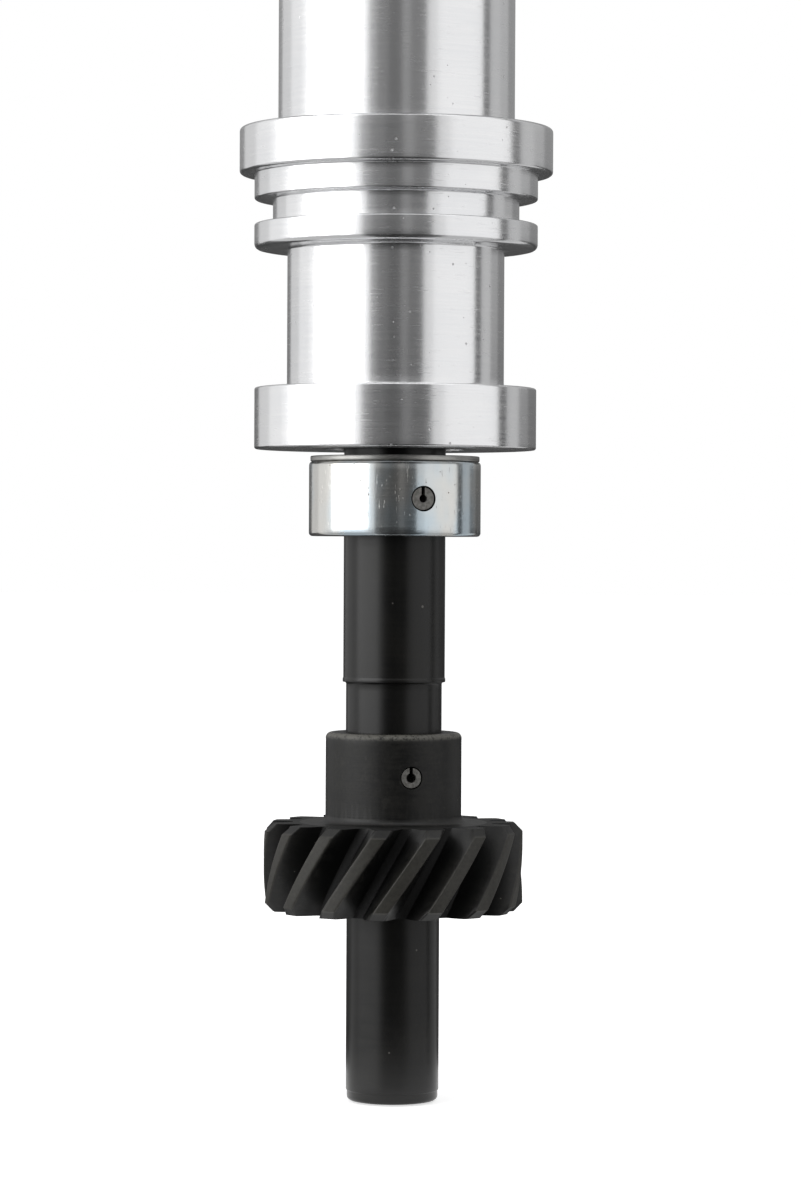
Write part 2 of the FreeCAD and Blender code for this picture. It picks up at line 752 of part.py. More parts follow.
# Advance base: a plate pressed on the journal, its hub standing on the bearing's inner race. The
# slot stops the sleeve's pin after its travel.
base = turned("advance_base", [
    ("journal_radius", "bearing_top"), ("base_hub_radius", "bearing_top"),
    ("base_hub_radius", "base_low"), ("base_radius", "base_low"),
    ("base_radius", "base_top"), ("journal_radius", "base_top"),
])
soften(base, [("base_radius", "base_top"), ("base_radius", "base_low")], "flange_edge")
stop_half = "(stop_circle * sin(advance_angle / 2 * 1 deg) + stop_radius + close_fit)"
stop_bow = "stop_circle * (1 - cos(advance_angle / 2 * 1 deg))"
drawing = draw_on(base, "XY_Plane", "base_top", turn="stop_angle")
box_outline(
    drawing, f"stop_circle - {stop_bow} - stop_radius - slot_clearance",
    "stop_circle + stop_radius + slot_clearance", f"-{stop_half}", stop_half,
)
pocket(base, drawing, "base_thick + 1")
drawing = draw_on(base, "XY_Plane", "base_top")
circle(drawing, "pivot_circle", "0", "pivot_radius")
around(base, [pocket(base, drawing, "base_thick + 1")], "2")

# Pivot pins: the weights turn on them, and the springs hook on their slim tops.
pivot = turned("pivot", [
    ("0", "base_low"), ("pivot_radius", "base_low"), ("pivot_radius", "weight_top + 0.1"),
    ("pivot_radius - clip_depth", "weight_top + 0.1"),
    ("pivot_radius - clip_depth", "weight_top + 0.1 + clip_thick"),
    ("post_radius", "weight_top + 0.1 + clip_thick"), ("post_radius", "spring_level + post_radius"),
    ("0", "spring_level + post_radius"),
])
pivot_spots = spots_around(2, 0.0, size("pivot_circle"))
group("weight_pivots", pivot, pivot_spots)
clip = ring(
    "clip", "pivot_radius - clip_depth", "clip_radius", "weight_top + 0.1",
    "weight_top + 0.1 + clip_thick",
)
drawing = draw_on(clip, "XY_Plane", "cam_top")
box_outline(drawing, "0", "clip_radius + 1", "-0.7 * pivot_radius + 0.4", "0.7 * pivot_radius - 0.4")
pocket(clip, drawing, "cam_thick + 2")
group("weight_clips", clip, pivot_spots)


def cylinder(name, radius, low, height, across="0", angle="0", sweep=None):
    """A plain round solid standing at a radius and angle, or a slice of one."""
    item = doc.addObject("Part::Cylinder", name)
    bind(item, "Radius", radius)
    bind(item, "Height", height)
    if sweep is not None:
        bind(item, "Angle", f"({sweep}) * 1 deg")
        item.Placement = UPRIGHT
        bind(item, "Placement.Rotation.Angle", f"({angle}) * 1 deg")
        bind(item, "Placement.Base.z", low)
    else:
        place(item, across, angle, low)
    return item


def joined(label, kind, parts):
    item = doc.addObject(kind, label)
    item.Label = label
    if kind == "Part::Cut":
        item.Base, item.Tool = parts
    else:
        item.Shapes = parts
    return item


def weight(label, turn):
    """A flat kidney-shaped weight: pivot eye, arm with the drive pin's nose, round-ended tail."""
    thick = "weight_thick"
    band = joined(label + "_band", "Part::Cut", [
        cylinder("outer", "weight_outer", "weight_low", thick, angle="weight_start",
                 sweep="weight_sweep"),
        cylinder("inner", "weight_inner", "weight_low", thick, "0"),
    ])
    tail_at = "(weight_outer + weight_inner) / 2"
    tail = cylinder("tail", "(weight_outer - weight_inner) / 2", "weight_low", thick, tail_at,
                    "weight_start + weight_sweep")
    eye = cylinder("eye", "weight_eye", "weight_low", thick, "pivot_circle")
    nose = cylinder("nose", "drive_nose", "weight_low", thick, "drive_circle", "drive_angle")
    arm = doc.addObject("Part::Box", "arm")
    run = "(pivot_circle - drive_circle * cos(drive_angle * 1 deg))"
    rise = "(drive_circle * sin(drive_angle * 1 deg))"
    bind(arm, "Length", f"sqrt({run} ^ 2 + {rise} ^ 2)")
    bind(arm, "Width", "2 * drive_nose")
    bind(arm, "Height", thick)
    lean = f"atan({rise} / {run})"
    arm.Placement = UPRIGHT
    bind(arm, "Placement.Rotation.Angle", f"180 deg - {lean}")
    bind(arm, "Placement.Base.x", f"pivot_circle + drive_nose * sin({lean})")
    bind(arm, "Placement.Base.y", f"drive_nose * cos({lean})")
    bind(arm, "Placement.Base.z", "weight_low")
    solid = joined(label + "_solid", "Part::MultiFuse", [band, tail, eye, nose, arm])
    holes = joined(label + "_holes", "Part::MultiFuse", [
        cylinder("pivot_hole", "pivot_radius + running", "weight_low - 1", "weight_thick + 2",
                 "pivot_circle"),
        cylinder("drive_hole", "drive_radius", "weight_low - 1", "weight_thick + 2",
                 "drive_circle", "drive_angle"),
    ])
    solid.Refine = True
    finished = joined(label, "Part::Cut", [solid, holes])
    swing(finished, turn)
    return finished


for side, turn in (("left", 0), ("right", 180)):
    weight(f"weight_{side}", turn)
    pin = turned(f"drive_pin_{side}", [
        ("0", "weight_low"), ("drive_radius", "weight_low"), ("drive_radius", "cam_top + 0.4"),
        ("0", "cam_top + 0.4"),
    ])
    place(pin, "drive_circle", f"drive_angle + {turn}")

# Advance sleeve: it runs on the journal, carries the cam plate at its foot and the reluctor and
# rotor above. The weights' drive pins work in the plate's two slots.
sleeve = turned("advance_sleeve", [
    ("journal_radius + running", "base_top + 0.2"), ("sleeve_foot_radius", "base_top + 0.2"),
    ("sleeve_foot_radius", "cam_low"), ("cam_radius", "cam_low"), ("cam_radius", "cam_top"),
    ("cam_hub_radius", "cam_top"), ("cam_hub_radius", "sleeve_top"),
    ("sleeve_cup_radius", "sleeve_top"), ("sleeve_cup_radius", "cup_low"),
    ("journal_radius + running", "cup_low"),
])
drawing = draw_on(sleeve, "XY_Plane", "cam_top", turn="drive_angle")
slot_half = "(drive_radius + slot_clearance)"
box_outline(
    drawing, f"drive_circle - {slot_half}", f"drive_circle + slot_travel + {slot_half}",
    f"-{slot_half}", slot_half,
)
around(sleeve, [pocket(sleeve, drawing, "cam_thick + 0.2")], "2")
drawing = draw_on(sleeve, "XY_Plane", "cam_top", turn="post_angle")
circle(drawing, "post_circle", "0", "post_radius")
around(sleeve, [pocket(sleeve, drawing, "cam_thick + 0.2")], "2")
drawing = draw_on(sleeve, "XY_Plane", "cam_top", turn="stop_angle - advance_angle / 2")
circle(drawing, "stop_circle", "0", "stop_pin_radius")
pocket(sleeve, drawing, "cam_thick + 0.2")
drawing = draw_on(sleeve, "XY_Plane", "sleeve_top", turn="rotor_angle")
box_outline(drawing, "0", "cam_hub_radius + 1", "-key_width / 2", "key_width / 2")
pocket(sleeve, drawing, "key_height")

post = turned("post", [
    ("0", "cam_low"), ("post_radius", "cam_low"), ("post_radius", "spring_level + post_radius"),
    ("0", "spring_level + post_radius"),
])
group("spring_posts", post, spots_around(2, size("post_angle"), size("post_circle")))

stop_at = "stop_angle - advance_angle / 2"
stop_pin = turned("stop_pin", [
    ("0", "base_low - 0.8"), ("stop_pin_radius + 0.5", "base_low - 0.8"),
    ("stop_pin_radius + 0.5", "base_low"), ("stop_pin_radius", "base_low"),
    ("stop_pin_radius", "cam_top"), ("0", "cam_top"),
])
place(stop_pin, "stop_circle", stop_at)
stop_bushing = ring("stop_bushing", "stop_pin_radius", "stop_radius", "base_low", "base_top")
place(stop_bushing, "stop_circle", stop_at)

# The clip on the journal keeps the sleeve down; the felt over it holds oil for the sleeve.
sleeve_clip = ring(
    "sleeve_clip", "journal_radius - clip_depth", "sleeve_cup_radius - 0.4", "clip_low", "clip_top"
)
drawing = draw_on(sleeve_clip, "XY_Plane", "sleeve_top")
box_outline(drawing, "0", "sleeve_cup_radius", "-0.6 * journal_radius", "0.6 * journal_radius")
pocket(sleeve_clip, drawing, "sleeve_cup")
oil_felt = ring("oil_felt", "0.8", "sleeve_cup_radius", "sleeve_top - felt_thick", "sleeve_top")


def coil(label, radius, wire, turns, length):
    """A coil spring's wire standing on the origin."""
    body = body_of(label)
    drawing = draw_on(body, "XZ_Plane")
    circle(drawing, f"{radius} - {wire} / 2", f"{wire} / 2", f"{wire} / 2")
    helix = body.newObject("PartDesign::AdditiveHelix", label + "_wire")
    helix.Profile = drawing
    helix.ReferenceAxis = (drawing, ["V_Axis"])
    helix.Mode = "height-turns-angle"
    bind(helix, "Height", f"{length} - {wire}")
    bind(helix, "Turns", turns)
    return body


# Advance springs: each runs from a pivot pin's slim top to a post on the cam plate and has an eye
# at both ends.
run = size("pivot_circle") - size("post_circle") * math.cos(math.radians(size("post_angle")))
rise = size("post_circle") * math.sin(math.radians(size("post_angle")))
span = math.hypot(run, rise)
wire_radius = size("spring_wire") / 2
eye_radius = size("post_radius") + wire_radius
coil_length = span - 2 * eye_radius - size("spring_wire")
body_coil = coil("spring_coil_body", "spring_coil", "spring_wire", "spring_turns", str(coil_length))
doc.recompute()
coil_shape = body_coil.Shape.copy()
coil_shape.translate(FreeCAD.Vector(0, 0, eye_radius + wire_radius))
pieces = [coil_shape]
for end in (0.0, span):
    pieces.append(Part.makeTorus(eye_radius, wire_radius, FreeCAD.Vector(0, 0, end),
                                 FreeCAD.Vector(1, 0, 0)))
spring_shape = pieces[0].fuse(pieces[1:])
aim = FreeCAD.Rotation(FreeCAD.Vector(0, 0, 1), math.degrees(math.atan2(rise, -run)))
tip_over = FreeCAD.Rotation(FreeCAD.Vector(0, 1, 0), 90)
from_pivot = FreeCAD.Vector(size("pivot_circle"), 0, size("spring_level"))
for side, turn in (("left", 0), ("right", 180)):
    spring = doc.addObject("Part::Feature", f"advance_spring_{side}")
    spring.Label = spring.Name
    spring.Shape = spring_shape
    half = FreeCAD.Placement(FreeCAD.Vector(0, 0, 0), FreeCAD.Rotation(FreeCAD.Vector(0, 0, 1), turn))
    spring.Placement = half.multiply(FreeCAD.Placement(from_pivot, aim.multiply(tip_over)))

# Reluctor: eight points on a hub pressed on the sleeve.
reluctor = ring("reluctor", "cam_hub_radius", "reluctor_root", "reluctor_low", "reluctor_top")
drawing = draw_on(reluctor, "XY_Plane", "reluctor_low")
root_half = "(reluctor_root * 0.3)"
outline(drawing, [
    ("reluctor_root - 1.5", f"-{root_half}"), ("reluctor_root + 0.3", f"-{root_half}"),
    ("reluctor_radius", "-reluctor_tip / 2"), ("reluctor_radius", "reluctor_tip / 2"),
    ("reluctor_root + 0.3", root_half), ("reluctor_root - 1.5", root_half),
])
around(reluctor, [pad(reluctor, drawing, "reluctor_height")], "reluctor_points")
swing(reluctor, "pickup_angle")

# Pickup plate on the bowl's ledge, with its screws in the three bosses.
plate = ring("pickup_plate", "plate_hole", "bowl_bore - plate_fit", "ledge_top", "plate_top")
drawing = draw_on(plate, "XY_Plane", "plate_top", turn="boss_angle")
circle(drawing, "boss_circle", "0", "screw_radius + close_fit")
around(plate, [pocket(plate, drawing, "plate_thick + 0.5")], "boss_count")
foot_screw = "(magnet_end + bracket_thick + small_screw_head + 0.4)"
drawing = draw_on(plate, "XY_Plane", "plate_top", turn="pickup_angle")
circle(drawing, foot_screw, "bracket_width / 2 - small_screw_head - 0.6", "small_screw_radius")
circle(drawing, foot_screw, "-bracket_width / 2 + small_screw_head + 0.6", "small_screw_radius")
pocket(plate, drawing, "plate_thick + 0.5")
plate_screw = screw("plate_screw", "screw_radius", "screw_head", "screw_head_height",
                    "screw_length", "plate_top")
group("plate_screws", plate_screw,
      spots_around(size("boss_count"), size("boss_angle"), size("boss_circle")))

# Pickup: a steel core runs from the air gap through the coil to the magnet, and a bent bracket
# holds them on the plate.
bracket = body_of("pickup_bracket")
drawing = draw_on(bracket, "XZ_Plane")
outline(drawing, [
    ("magnet_end", "plate_top"), ("bracket_end", "plate_top"),
    ("bracket_end", "plate_top + bracket_thick"),
    ("magnet_end + bracket_thick", "plate_top + bracket_thick"),
    ("magnet_end + bracket_thick", "trigger_level + coil_radius"),
    ("magnet_end", "trigger_level + coil_radius"),
])
pad(bracket, drawing, "bracket_width", both=True)
drawing = draw_on(bracket, "XY_Plane", "plate_top + bracket_thick")
circle(drawing, foot_screw, "bracket_width / 2 - small_screw_head - 0.6", "small_screw_radius")
circle(drawing, foot_screw, "-bracket_width / 2 + small_screw_head + 0.6", "small_screw_radius")
pocket(bracket, drawing, "bracket_thick + 0.5")
swing(bracket, "pickup_angle")
small = screw("small_screw", "small_screw_radius", "small_screw_head", "small_screw_head_height",
              "(plate_thick + bracket_thick)", "plate_top + bracket_thick")
turn = FreeCAD.Rotation(FreeCAD.Vector(0, 0, 1), size("pickup_angle"))
out = size("magnet_end") + size("bracket_thick") + size("small_screw_head") + 0.4
off = size("bracket_width") / 2 - size("small_screw_head") - 0.6
group("pickup_screws", small, [
    FreeCAD.Placement(turn.multVec(FreeCAD.Vector(out, y, 0)), turn) for y in (off, -off)
])


def lay_outwards(item, angle, level):
    """Lays a piece built upright down, pointing away from the shaft's axis."""
    around_z = FreeCAD.Rotation(FreeCAD.Vector(0, 0, 1), size(angle))
    lay = FreeCAD.Rotation(FreeCAD.Vector(0, 1, 0), 90)
    item.Placement = FreeCAD.Placement(FreeCAD.Vector(0, 0, 0), around_z.multiply(lay))
    bind(item, "Placement.Base.z", level)


core = turned("pickup_core", [
    ("0", "core_tip"), ("core_radius", "core_tip"), ("core_radius", "magnet_start"),
    ("0", "magnet_start"),
])
lay_outwards(core, "pickup_angle", "trigger_level")
pickup_coil = turned("pickup_coil", [
    ("core_radius", "coil_start"), ("coil_radius", "coil_start"),
    ("coil_radius", "coil_start + coil_flange"),
    ("coil_radius - 0.8", "coil_start + coil_flange"),
    ("coil_radius - 0.8", "magnet_start - coil_flange"),
    ("coil_radius", "magnet_start - coil_flange"), ("coil_radius", "magnet_start"),
    ("core_radius", "magnet_start"),
])
lay_outwards(pickup_coil, "pickup_angle", "trigger_level")
magnet = doc.addObject("Part::Box", "pickup_magnet")
magnet.Label = "pickup_magnet"
bind(magnet, "Length", "magnet_length")
bind(magnet, "Width", "1.7 * coil_radius")
bind(magnet, "Height", "1.7 * coil_radius")
around_z = FreeCAD.Rotation(FreeCAD.Vector(0, 0, 1), size("pickup_angle"))
corner = FreeCAD.Vector(size("magnet_start"), -0.85 * size("coil_radius"),
                        size("trigger_level") - 0.85 * size("coil_radius"))
magnet.Placement = FreeCAD.Placement(around_z.multVec(corner), around_z)

# Rubber grommet in the bowl's wall, open for the trigger's lead.
grommet = turned("lead_grommet", [
    ("lead_bore", "lead_inner - grommet_lip"), ("lead_hole + 1.4", "lead_inner - grommet_lip"),
    ("lead_hole + 1.4", "lead_inner"), ("lead_hole", "lead_inner"),
    ("lead_hole", "bowl_radius"), ("lead_hole + 1.4", "bowl_radius"),
    ("lead_hole + 1.4", "bowl_radius + grommet_lip"), ("lead_bore", "bowl_radius + grommet_lip"),
])
lay_outwards(grommet, "lead_angle", "lead_level")

# Rotor: hub over the sleeve's top with a key in its slot, round shield and the arm for the contact.
rotor = turned("rotor", [
    ("cam_hub_radius", "rotor_low"), ("rotor_hub", "rotor_low"), ("rotor_hub", "sleeve_top"),
    ("rotor_disc", "sleeve_top"), ("rotor_disc", "disc_top"), ("0", "disc_top"),
    ("0", "sleeve_top"), ("cam_hub_radius", "sleeve_top"),
])
soften(rotor, [("rotor_disc", "disc_top"), ("rotor_disc", "sleeve_top")], "rim_edge",
       round_over=True)
drawing = draw_on(rotor, "XY_Plane", "disc_top")
outline(drawing, [
    ("-rotor_disc + 6", "-rotor_width / 2"), ("rotor_hub", "-rotor_width / 2"),
    ("contact_reach - contact_tip", "-contact_width / 2"),
    ("contact_reach - contact_tip", "contact_width / 2"), ("rotor_hub", "rotor_width / 2"),
    ("-rotor_disc + 6", "rotor_width / 2"),
])
pad(rotor, drawing, "rotor_block")
drawing = draw_on(rotor, "XY_Plane", "sleeve_top")
box_outline(drawing, "sleeve_cup_radius + close_fit", "cam_hub_radius + 1",
            "-key_width / 2 + close_fit", "key_width / 2 - close_fit")
pad(rotor, drawing, "key_height - 0.2", backwards=True)
swing(rotor, "rotor_angle")
contact = body_of("rotor_contact")
drawing = draw_on(contact, "XY_Plane", "contact_low")
box_outline(drawing, "-rotor_hub / 2", "contact_reach", "-contact_width / 2 + 1",
            "contact_width / 2 - 1")
pad(contact, drawing, "contact_thick")
drawing = draw_on(contact, "XY_Plane", "contact_low")
box_outline(drawing, "contact_reach - contact_tip", "contact_reach", "-contact_width / 2 + 1",
            "contact_width / 2 - 1")
pad(contact, drawing, "contact_drop", backwards=True)
swing(contact, "rotor_angle")

# Cap: a moulded shell whose spigot sits in the bowl, with ribs and two ears for its screws. Its
# towers are part of the same moulding and a node of their own, so the ribs stop at their feet.
cap = turned("cap", [
    ("cap_inner", "bowl_top - cap_spigot"), ("bowl_bore - cap_fit", "bowl_top - cap_spigot"),
    ("bowl_bore - cap_fit", "bowl_top"), ("bowl_radius", "bowl_top"),
    ("bowl_radius", "cap_foot_top"), ("cap_side", "cap_foot_top"),
    ("cap_shoulder", "cap_top"), ("0", "cap_top"), ("0", "cap_boss_low"),
    ("cap_boss_radius", "cap_boss_low"), ("cap_boss_radius", "cap_under"),
    ("cap_inner - cap_taper", "cap_under"),
])
soften(cap, [("cap_shoulder", "cap_top")], "cap_round", round_over=True)
drawing = draw_on(cap, "XY_Plane", "bowl_top")
box_outline(drawing, "bowl_bore + 0.5", "ear_circle", "-ear_radius", "ear_radius")
lug = pad(cap, drawing, "cap_foot")
drawing = draw_on(cap, "XY_Plane", "bowl_top")
circle(drawing, "ear_circle", "0", "ear_radius")
lug_end = pad(cap, drawing, "cap_foot")
drawing = draw_on(cap, "XY_Plane", "cap_foot_top")
circle(drawing, "ear_circle", "0", "cap_screw_radius + close_fit")
around(cap, [lug, lug_end, pocket(cap, drawing, "cap_foot + 0.2")], "2")
drawing = draw_on(cap, "XY_Plane", "cap_top - 1", turn="tower_angle")
box_outline(drawing, "coil_tower_base", "tower_circle - tower_base", "-rib_width / 2",
            "rib_width / 2")
rib = pad(cap, drawing, "rib_height + 1")
drawing = draw_on(cap, "XY_Plane", "cap_top", turn="tower_angle")
circle(drawing, "tower_circle", "0", "terminal_radius")
hole = pocket(cap, drawing, "cap_deck + 1")
around(cap, [rib, hole], "tower_count")
drawing = draw_on(cap, "XY_Plane", "cap_top")
circle(drawing, "0", "0", "socket_outer")
pocket(cap, drawing, "cap_height")

tower = turned("tower", [
    ("terminal_radius", "cap_top"), ("tower_base", "cap_top"), ("tower_top", "tower_top_level"),
    ("terminal_radius", "tower_top_level"),
])
coil_tower = turned("coil_tower", [
    ("socket_outer", "cap_top"), ("coil_tower_base", "cap_top"),
    ("coil_tower_top", "coil_tower_level"), ("socket_outer", "coil_tower_level"),
])
towers = group("cap_towers", tower,
               spots_around(size("tower_count"), size("tower_angle"), size("tower_circle")))
towers.Shape = Part.makeCompound([towers.Shape, coil_tower.Shape])

# Terminals: each stud passes through its tower, with a neck and head above for the lead's clip.
terminal = turned("terminal", [
    ("0", "terminal_low"), ("terminal_radius", "terminal_low"),
    ("terminal_radius", "tower_top_level"), ("terminal_neck", "tower_top_level"),
    ("terminal_neck", "tower_top_level + terminal_neck_length"),
    ("terminal_radius", "tower_top_level + terminal_neck_length + 0.8"),
    ("terminal_radius", "tower_top_level + terminal_neck_length + terminal_head"),
    ("terminal_radius - 1.2", "tower_top_level + terminal_neck_length + terminal_head + 1.2"),
    ("0", "tower_top_level + terminal_neck_length + terminal_head + 1.2"),
])
group("plug_terminals", terminal,
      spots_around(size("tower_count"), size("tower_angle"), size("tower_circle")))
coil_terminal = turned("coil_terminal", [
    ("brush_radius + running", "cap_boss_low"), ("socket_outer", "cap_boss_low"),
    ("socket_outer", "coil_tower_level"), ("terminal_neck", "coil_tower_level"),
    ("terminal_neck", "coil_tower_level + terminal_neck_length"),
    ("terminal_radius", "coil_tower_level + terminal_neck_length + 0.8"),
    ("terminal_radius", "coil_tower_level + terminal_neck_length + terminal_head"),
    ("terminal_radius - 1.2", "coil_tower_level + terminal_neck_length + terminal_head + 1.2"),
    ("0", "coil_tower_level + terminal_neck_length + terminal_head + 1.2"),
    ("0", "brush_socket_top"), ("brush_radius + running", "brush_socket_top"),
])
carbon_brush = turned("carbon_brush", [
    ("0", "brush_low"), ("brush_radius - 0.5", "brush_low"), ("brush_radius", "brush_low + 0.5"),
    ("brush_radius", "brush_top"), ("0", "brush_top"),
])
brush_spring = coil("brush_spring", "(brush_radius - 0.2)", "spring_wire", "brush_spring_turns",
                    "brush_spring_length")
bind(brush_spring, "Placement.Base.z", "brush_top")
cap_screw = screw("cap_screw", "cap_screw_radius", "cap_screw_head", "cap_screw_head_height",
                  "cap_screw_length", "cap_foot_top")
group("cap_screws", cap_screw, spots_around(2, 0.0, size("ear_circle")))

# The pieces that go into the assembly; the others are patterns for groups and blanks.
nodes = [
    "housing", "bowl_floor", "bowl_wall", "lower_bushing", "bearing_outer_race",
    "bearing_inner_race", "bearing_balls", "bearing_cage", "bearing_snap_ring", "main_shaft",
    "thrust_washer", "collar", "collar_pin", "drive_gear", "gear_pin", "advance_base",
    "weight_pivots", "weight_clips", "weight_left", "weight_right", "drive_pin_left",
    "drive_pin_right", "advance_sleeve", "spring_posts", "stop_pin", "stop_bushing", "sleeve_clip",
    "oil_felt", "advance_spring_left", "advance_spring_right", "reluctor", "pickup_plate",
    "plate_screws", "pickup_bracket", "pickup_screws", "pickup_core", "pickup_coil",
    "pickup_magnet", "lead_grommet", "rotor", "rotor_contact", "cap", "cap_towers",
    "plug_terminals", "coil_terminal", "carbon_brush", "brush_spring", "cap_screws",
]

doc.recompute()
for item in doc.Objects:
    if "Invalid" in item.State or "Error" in item.State:
        raise ValueError(f"{item.Label} did not rebuild")
os.makedirs("parts", exist_ok=True)
for label in nodes:
    piece = doc.getObjectsByLabel(label)[0].Shape
    if piece.isNull() or not piece.isValid() or not piece.Solids:
        raise ValueError(f"{label} has no sound solid")
for label in nodes:
    doc.getObjectsByLabel(label)[0].Shape.exportStep(f"parts/{label}.step")
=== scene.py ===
import math
import bmesh
import bpy
from mathutils import Matrix, Quaternion, Vector


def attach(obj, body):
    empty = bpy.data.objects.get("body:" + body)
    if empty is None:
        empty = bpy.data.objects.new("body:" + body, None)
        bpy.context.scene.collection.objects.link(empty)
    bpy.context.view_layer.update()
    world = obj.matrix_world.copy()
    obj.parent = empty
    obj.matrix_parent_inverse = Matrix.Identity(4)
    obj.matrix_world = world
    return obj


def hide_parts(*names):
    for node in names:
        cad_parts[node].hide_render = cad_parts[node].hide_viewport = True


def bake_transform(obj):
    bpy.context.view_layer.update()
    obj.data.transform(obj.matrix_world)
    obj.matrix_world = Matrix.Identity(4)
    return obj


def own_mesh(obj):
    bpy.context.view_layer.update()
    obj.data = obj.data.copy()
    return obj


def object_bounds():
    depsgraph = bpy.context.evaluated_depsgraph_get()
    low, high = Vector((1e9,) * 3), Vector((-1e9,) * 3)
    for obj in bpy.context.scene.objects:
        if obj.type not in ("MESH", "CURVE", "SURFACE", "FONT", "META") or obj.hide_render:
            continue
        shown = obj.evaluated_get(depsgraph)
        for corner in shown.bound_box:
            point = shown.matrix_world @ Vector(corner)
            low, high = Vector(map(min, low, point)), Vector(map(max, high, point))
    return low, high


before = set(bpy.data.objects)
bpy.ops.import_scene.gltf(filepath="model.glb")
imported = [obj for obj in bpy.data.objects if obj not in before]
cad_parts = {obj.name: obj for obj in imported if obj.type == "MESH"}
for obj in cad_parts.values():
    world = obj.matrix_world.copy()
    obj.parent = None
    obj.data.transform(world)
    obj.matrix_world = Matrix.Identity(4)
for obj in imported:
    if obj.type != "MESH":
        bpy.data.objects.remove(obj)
cad_box = [list(corner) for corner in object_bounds()]
MM = 0.001

# Camera: it looks at the lower half of the distributor from the front, level with the collar. The
# slight tilt and roll are those of the photograph.
camera = bpy.data.objects.new("camera", bpy.data.cameras.new("camera"))
bpy.context.collection.objects.link(camera)
bpy.context.scene.camera = camera
bpy.context.scene.view_settings.view_transform = "Standard"
camera.data.lens = 115.8
camera.data.sensor_width = 36.0
camera.data.clip_start = 0.01
eye = Vector((0.86, -538.0, -52.0)) * MM
target = Vector((0.86, 0.0, -59.1)) * MM
roll = Quaternion((0, 0, 1), math.radians(0.274))
camera.location = eye
camera.rotation_mode = "QUATERNION"
camera.rotation_quaternion = (target - eye).to_track_quat("-Z", "Y") @ roll


class Signal:
    """A socket of a material's nodes. Sums on signals add Math nodes, and node() adds any other."""

    def __init__(self, tree, socket=None):
        self.tree = tree
        self.socket = socket

    def node(self, kind, inputs, output=0, stops=None, **settings):
        made = self.tree.nodes.new("ShaderNode" + kind)
        for key, value in settings.items():
            setattr(made, key, value)
        if stops:
            ramp = made.color_ramp
            while len(ramp.elements) < len(stops):
                ramp.elements.new(1.0)
            for element, (place, colour) in zip(ramp.elements, stops):
                element.position = place
                element.color = (*colour, 1.0) if isinstance(colour, tuple) else (colour,) * 3 + (1.0,)
        for key, value in inputs.items():
            if isinstance(value, Signal):
                self.tree.links.new(value.socket, made.inputs[key])
            else:
                made.inputs[key].default_value = value
        return Signal(self.tree, made.outputs[output])

    def maths(self, operation, first, second=0.0):
        return self.node("Math", {0: first, 1: second}, operation=operation)

    def __add__(self, other):
        return self.maths("ADD", self, other)

    def __sub__(self, other):
        return self.maths("SUBTRACT", self, other)

    def __rsub__(self, other):
        return self.maths("SUBTRACT", other, self)

    def __mul__(self, other):
        return self.maths("MULTIPLY", self, other)

    def __pow__(self, other):
        return self.maths("POWER", self, other)

    def __gt__(self, other):
        return self.maths("GREATER_THAN", self, other)

    def __lt__(self, other):
        return self.maths("LESS_THAN", self, other)

    __radd__ = __add__
    __rmul__ = __mul__

    def clamped(self):
        return self.node("Clamp", {"Value": self})

    def from_to(self, low, high):
        """0 below low, 1 above high and smooth between."""
        return self.node("MapRange", {"Value": self, "From Min": low, "From Max": high},
                         interpolation_type="SMOOTHSTEP")

    def between(self, first, second):
        """The colour first where the signal is 0 and second where it is 1."""
        ends = [c if isinstance(c, Signal) else (*c, 1.0) for c in (first, second)]
        return self.node("Mix", {0: self, 6: ends[0], 7: ends[1]}, output=2, data_type="RGBA")


# Floor: plain pale board. The camera and reflections see it a little lit from within, so it meets
# the white around it, and it keeps the distributor's shadow.
def stage_mesh(name, bm, surface_of):
    """A mesh of the stage. surface_of gets its material's signals and returns its shader."""
    mesh = bpy.data.meshes.new(name)
    bm.to_mesh(mesh)
    bm.free()
    item = bpy.data.objects.new(name, mesh)
    bpy.context.collection.objects.link(item)
    paint = bpy.data.materials.new(name)
    paint.use_nodes = True
    tree = paint.node_tree
    tree.nodes.remove(tree.nodes["Principled BSDF"])
    tree.links.new(surface_of(Signal(tree)).socket, tree.nodes["Material Output"].inputs["Surface"])
    mesh.materials.append(paint)
    return item


def seen_rays(signal):
    """1 for the rays of the camera and of reflections, 0 for those that only light the object."""
    kinds = ("Is Camera Ray", "Is Glossy Ray", "Is Transmission Ray")
    direct, mirrored, bent = (signal.node("LightPath", {}, output=kind) for kind in kinds)
    return (direct + mirrored + bent).clamped()


def pale_board(signal):
    board = signal.node("BsdfDiffuse", {"Color": (0.8, 0.8, 0.8, 1.0)})
    glow = signal.node("Emission", {"Strength": seen_rays(signal) * 0.64})
    return signal.node("AddShader", {0: board, 1: glow})


floor_size, floor_gap = 6.0, 0.2 * MM
bm = bmesh.new()
bmesh.ops.create_grid(bm, x_segments=1, y_segments=1, size=floor_size)
bmesh.ops.translate(bm, verts=bm.verts, vec=(0, 0, cad_box[0][2] - floor_gap))
stage_mesh("floor", bm, pale_board)

# World: a white room as the camera and reflections see it, and a softer fill on the object.
world = bpy.data.worlds.new("white_room")
bpy.context.scene.world = world
world.use_nodes = True
background = world.node_tree.nodes["Background"]
background.inputs["Color"].default_value = (1.0, 1.0, 1.0, 1.0)
strength = seen_rays(Signal(world.node_tree)) * 0.5 + 0.5
world.node_tree.links.new(strength.socket, background.inputs["Strength"])


# Lamps: four softboxes round the object. The left one is the brightest, as in the photograph.
lamp_distance = 0.9


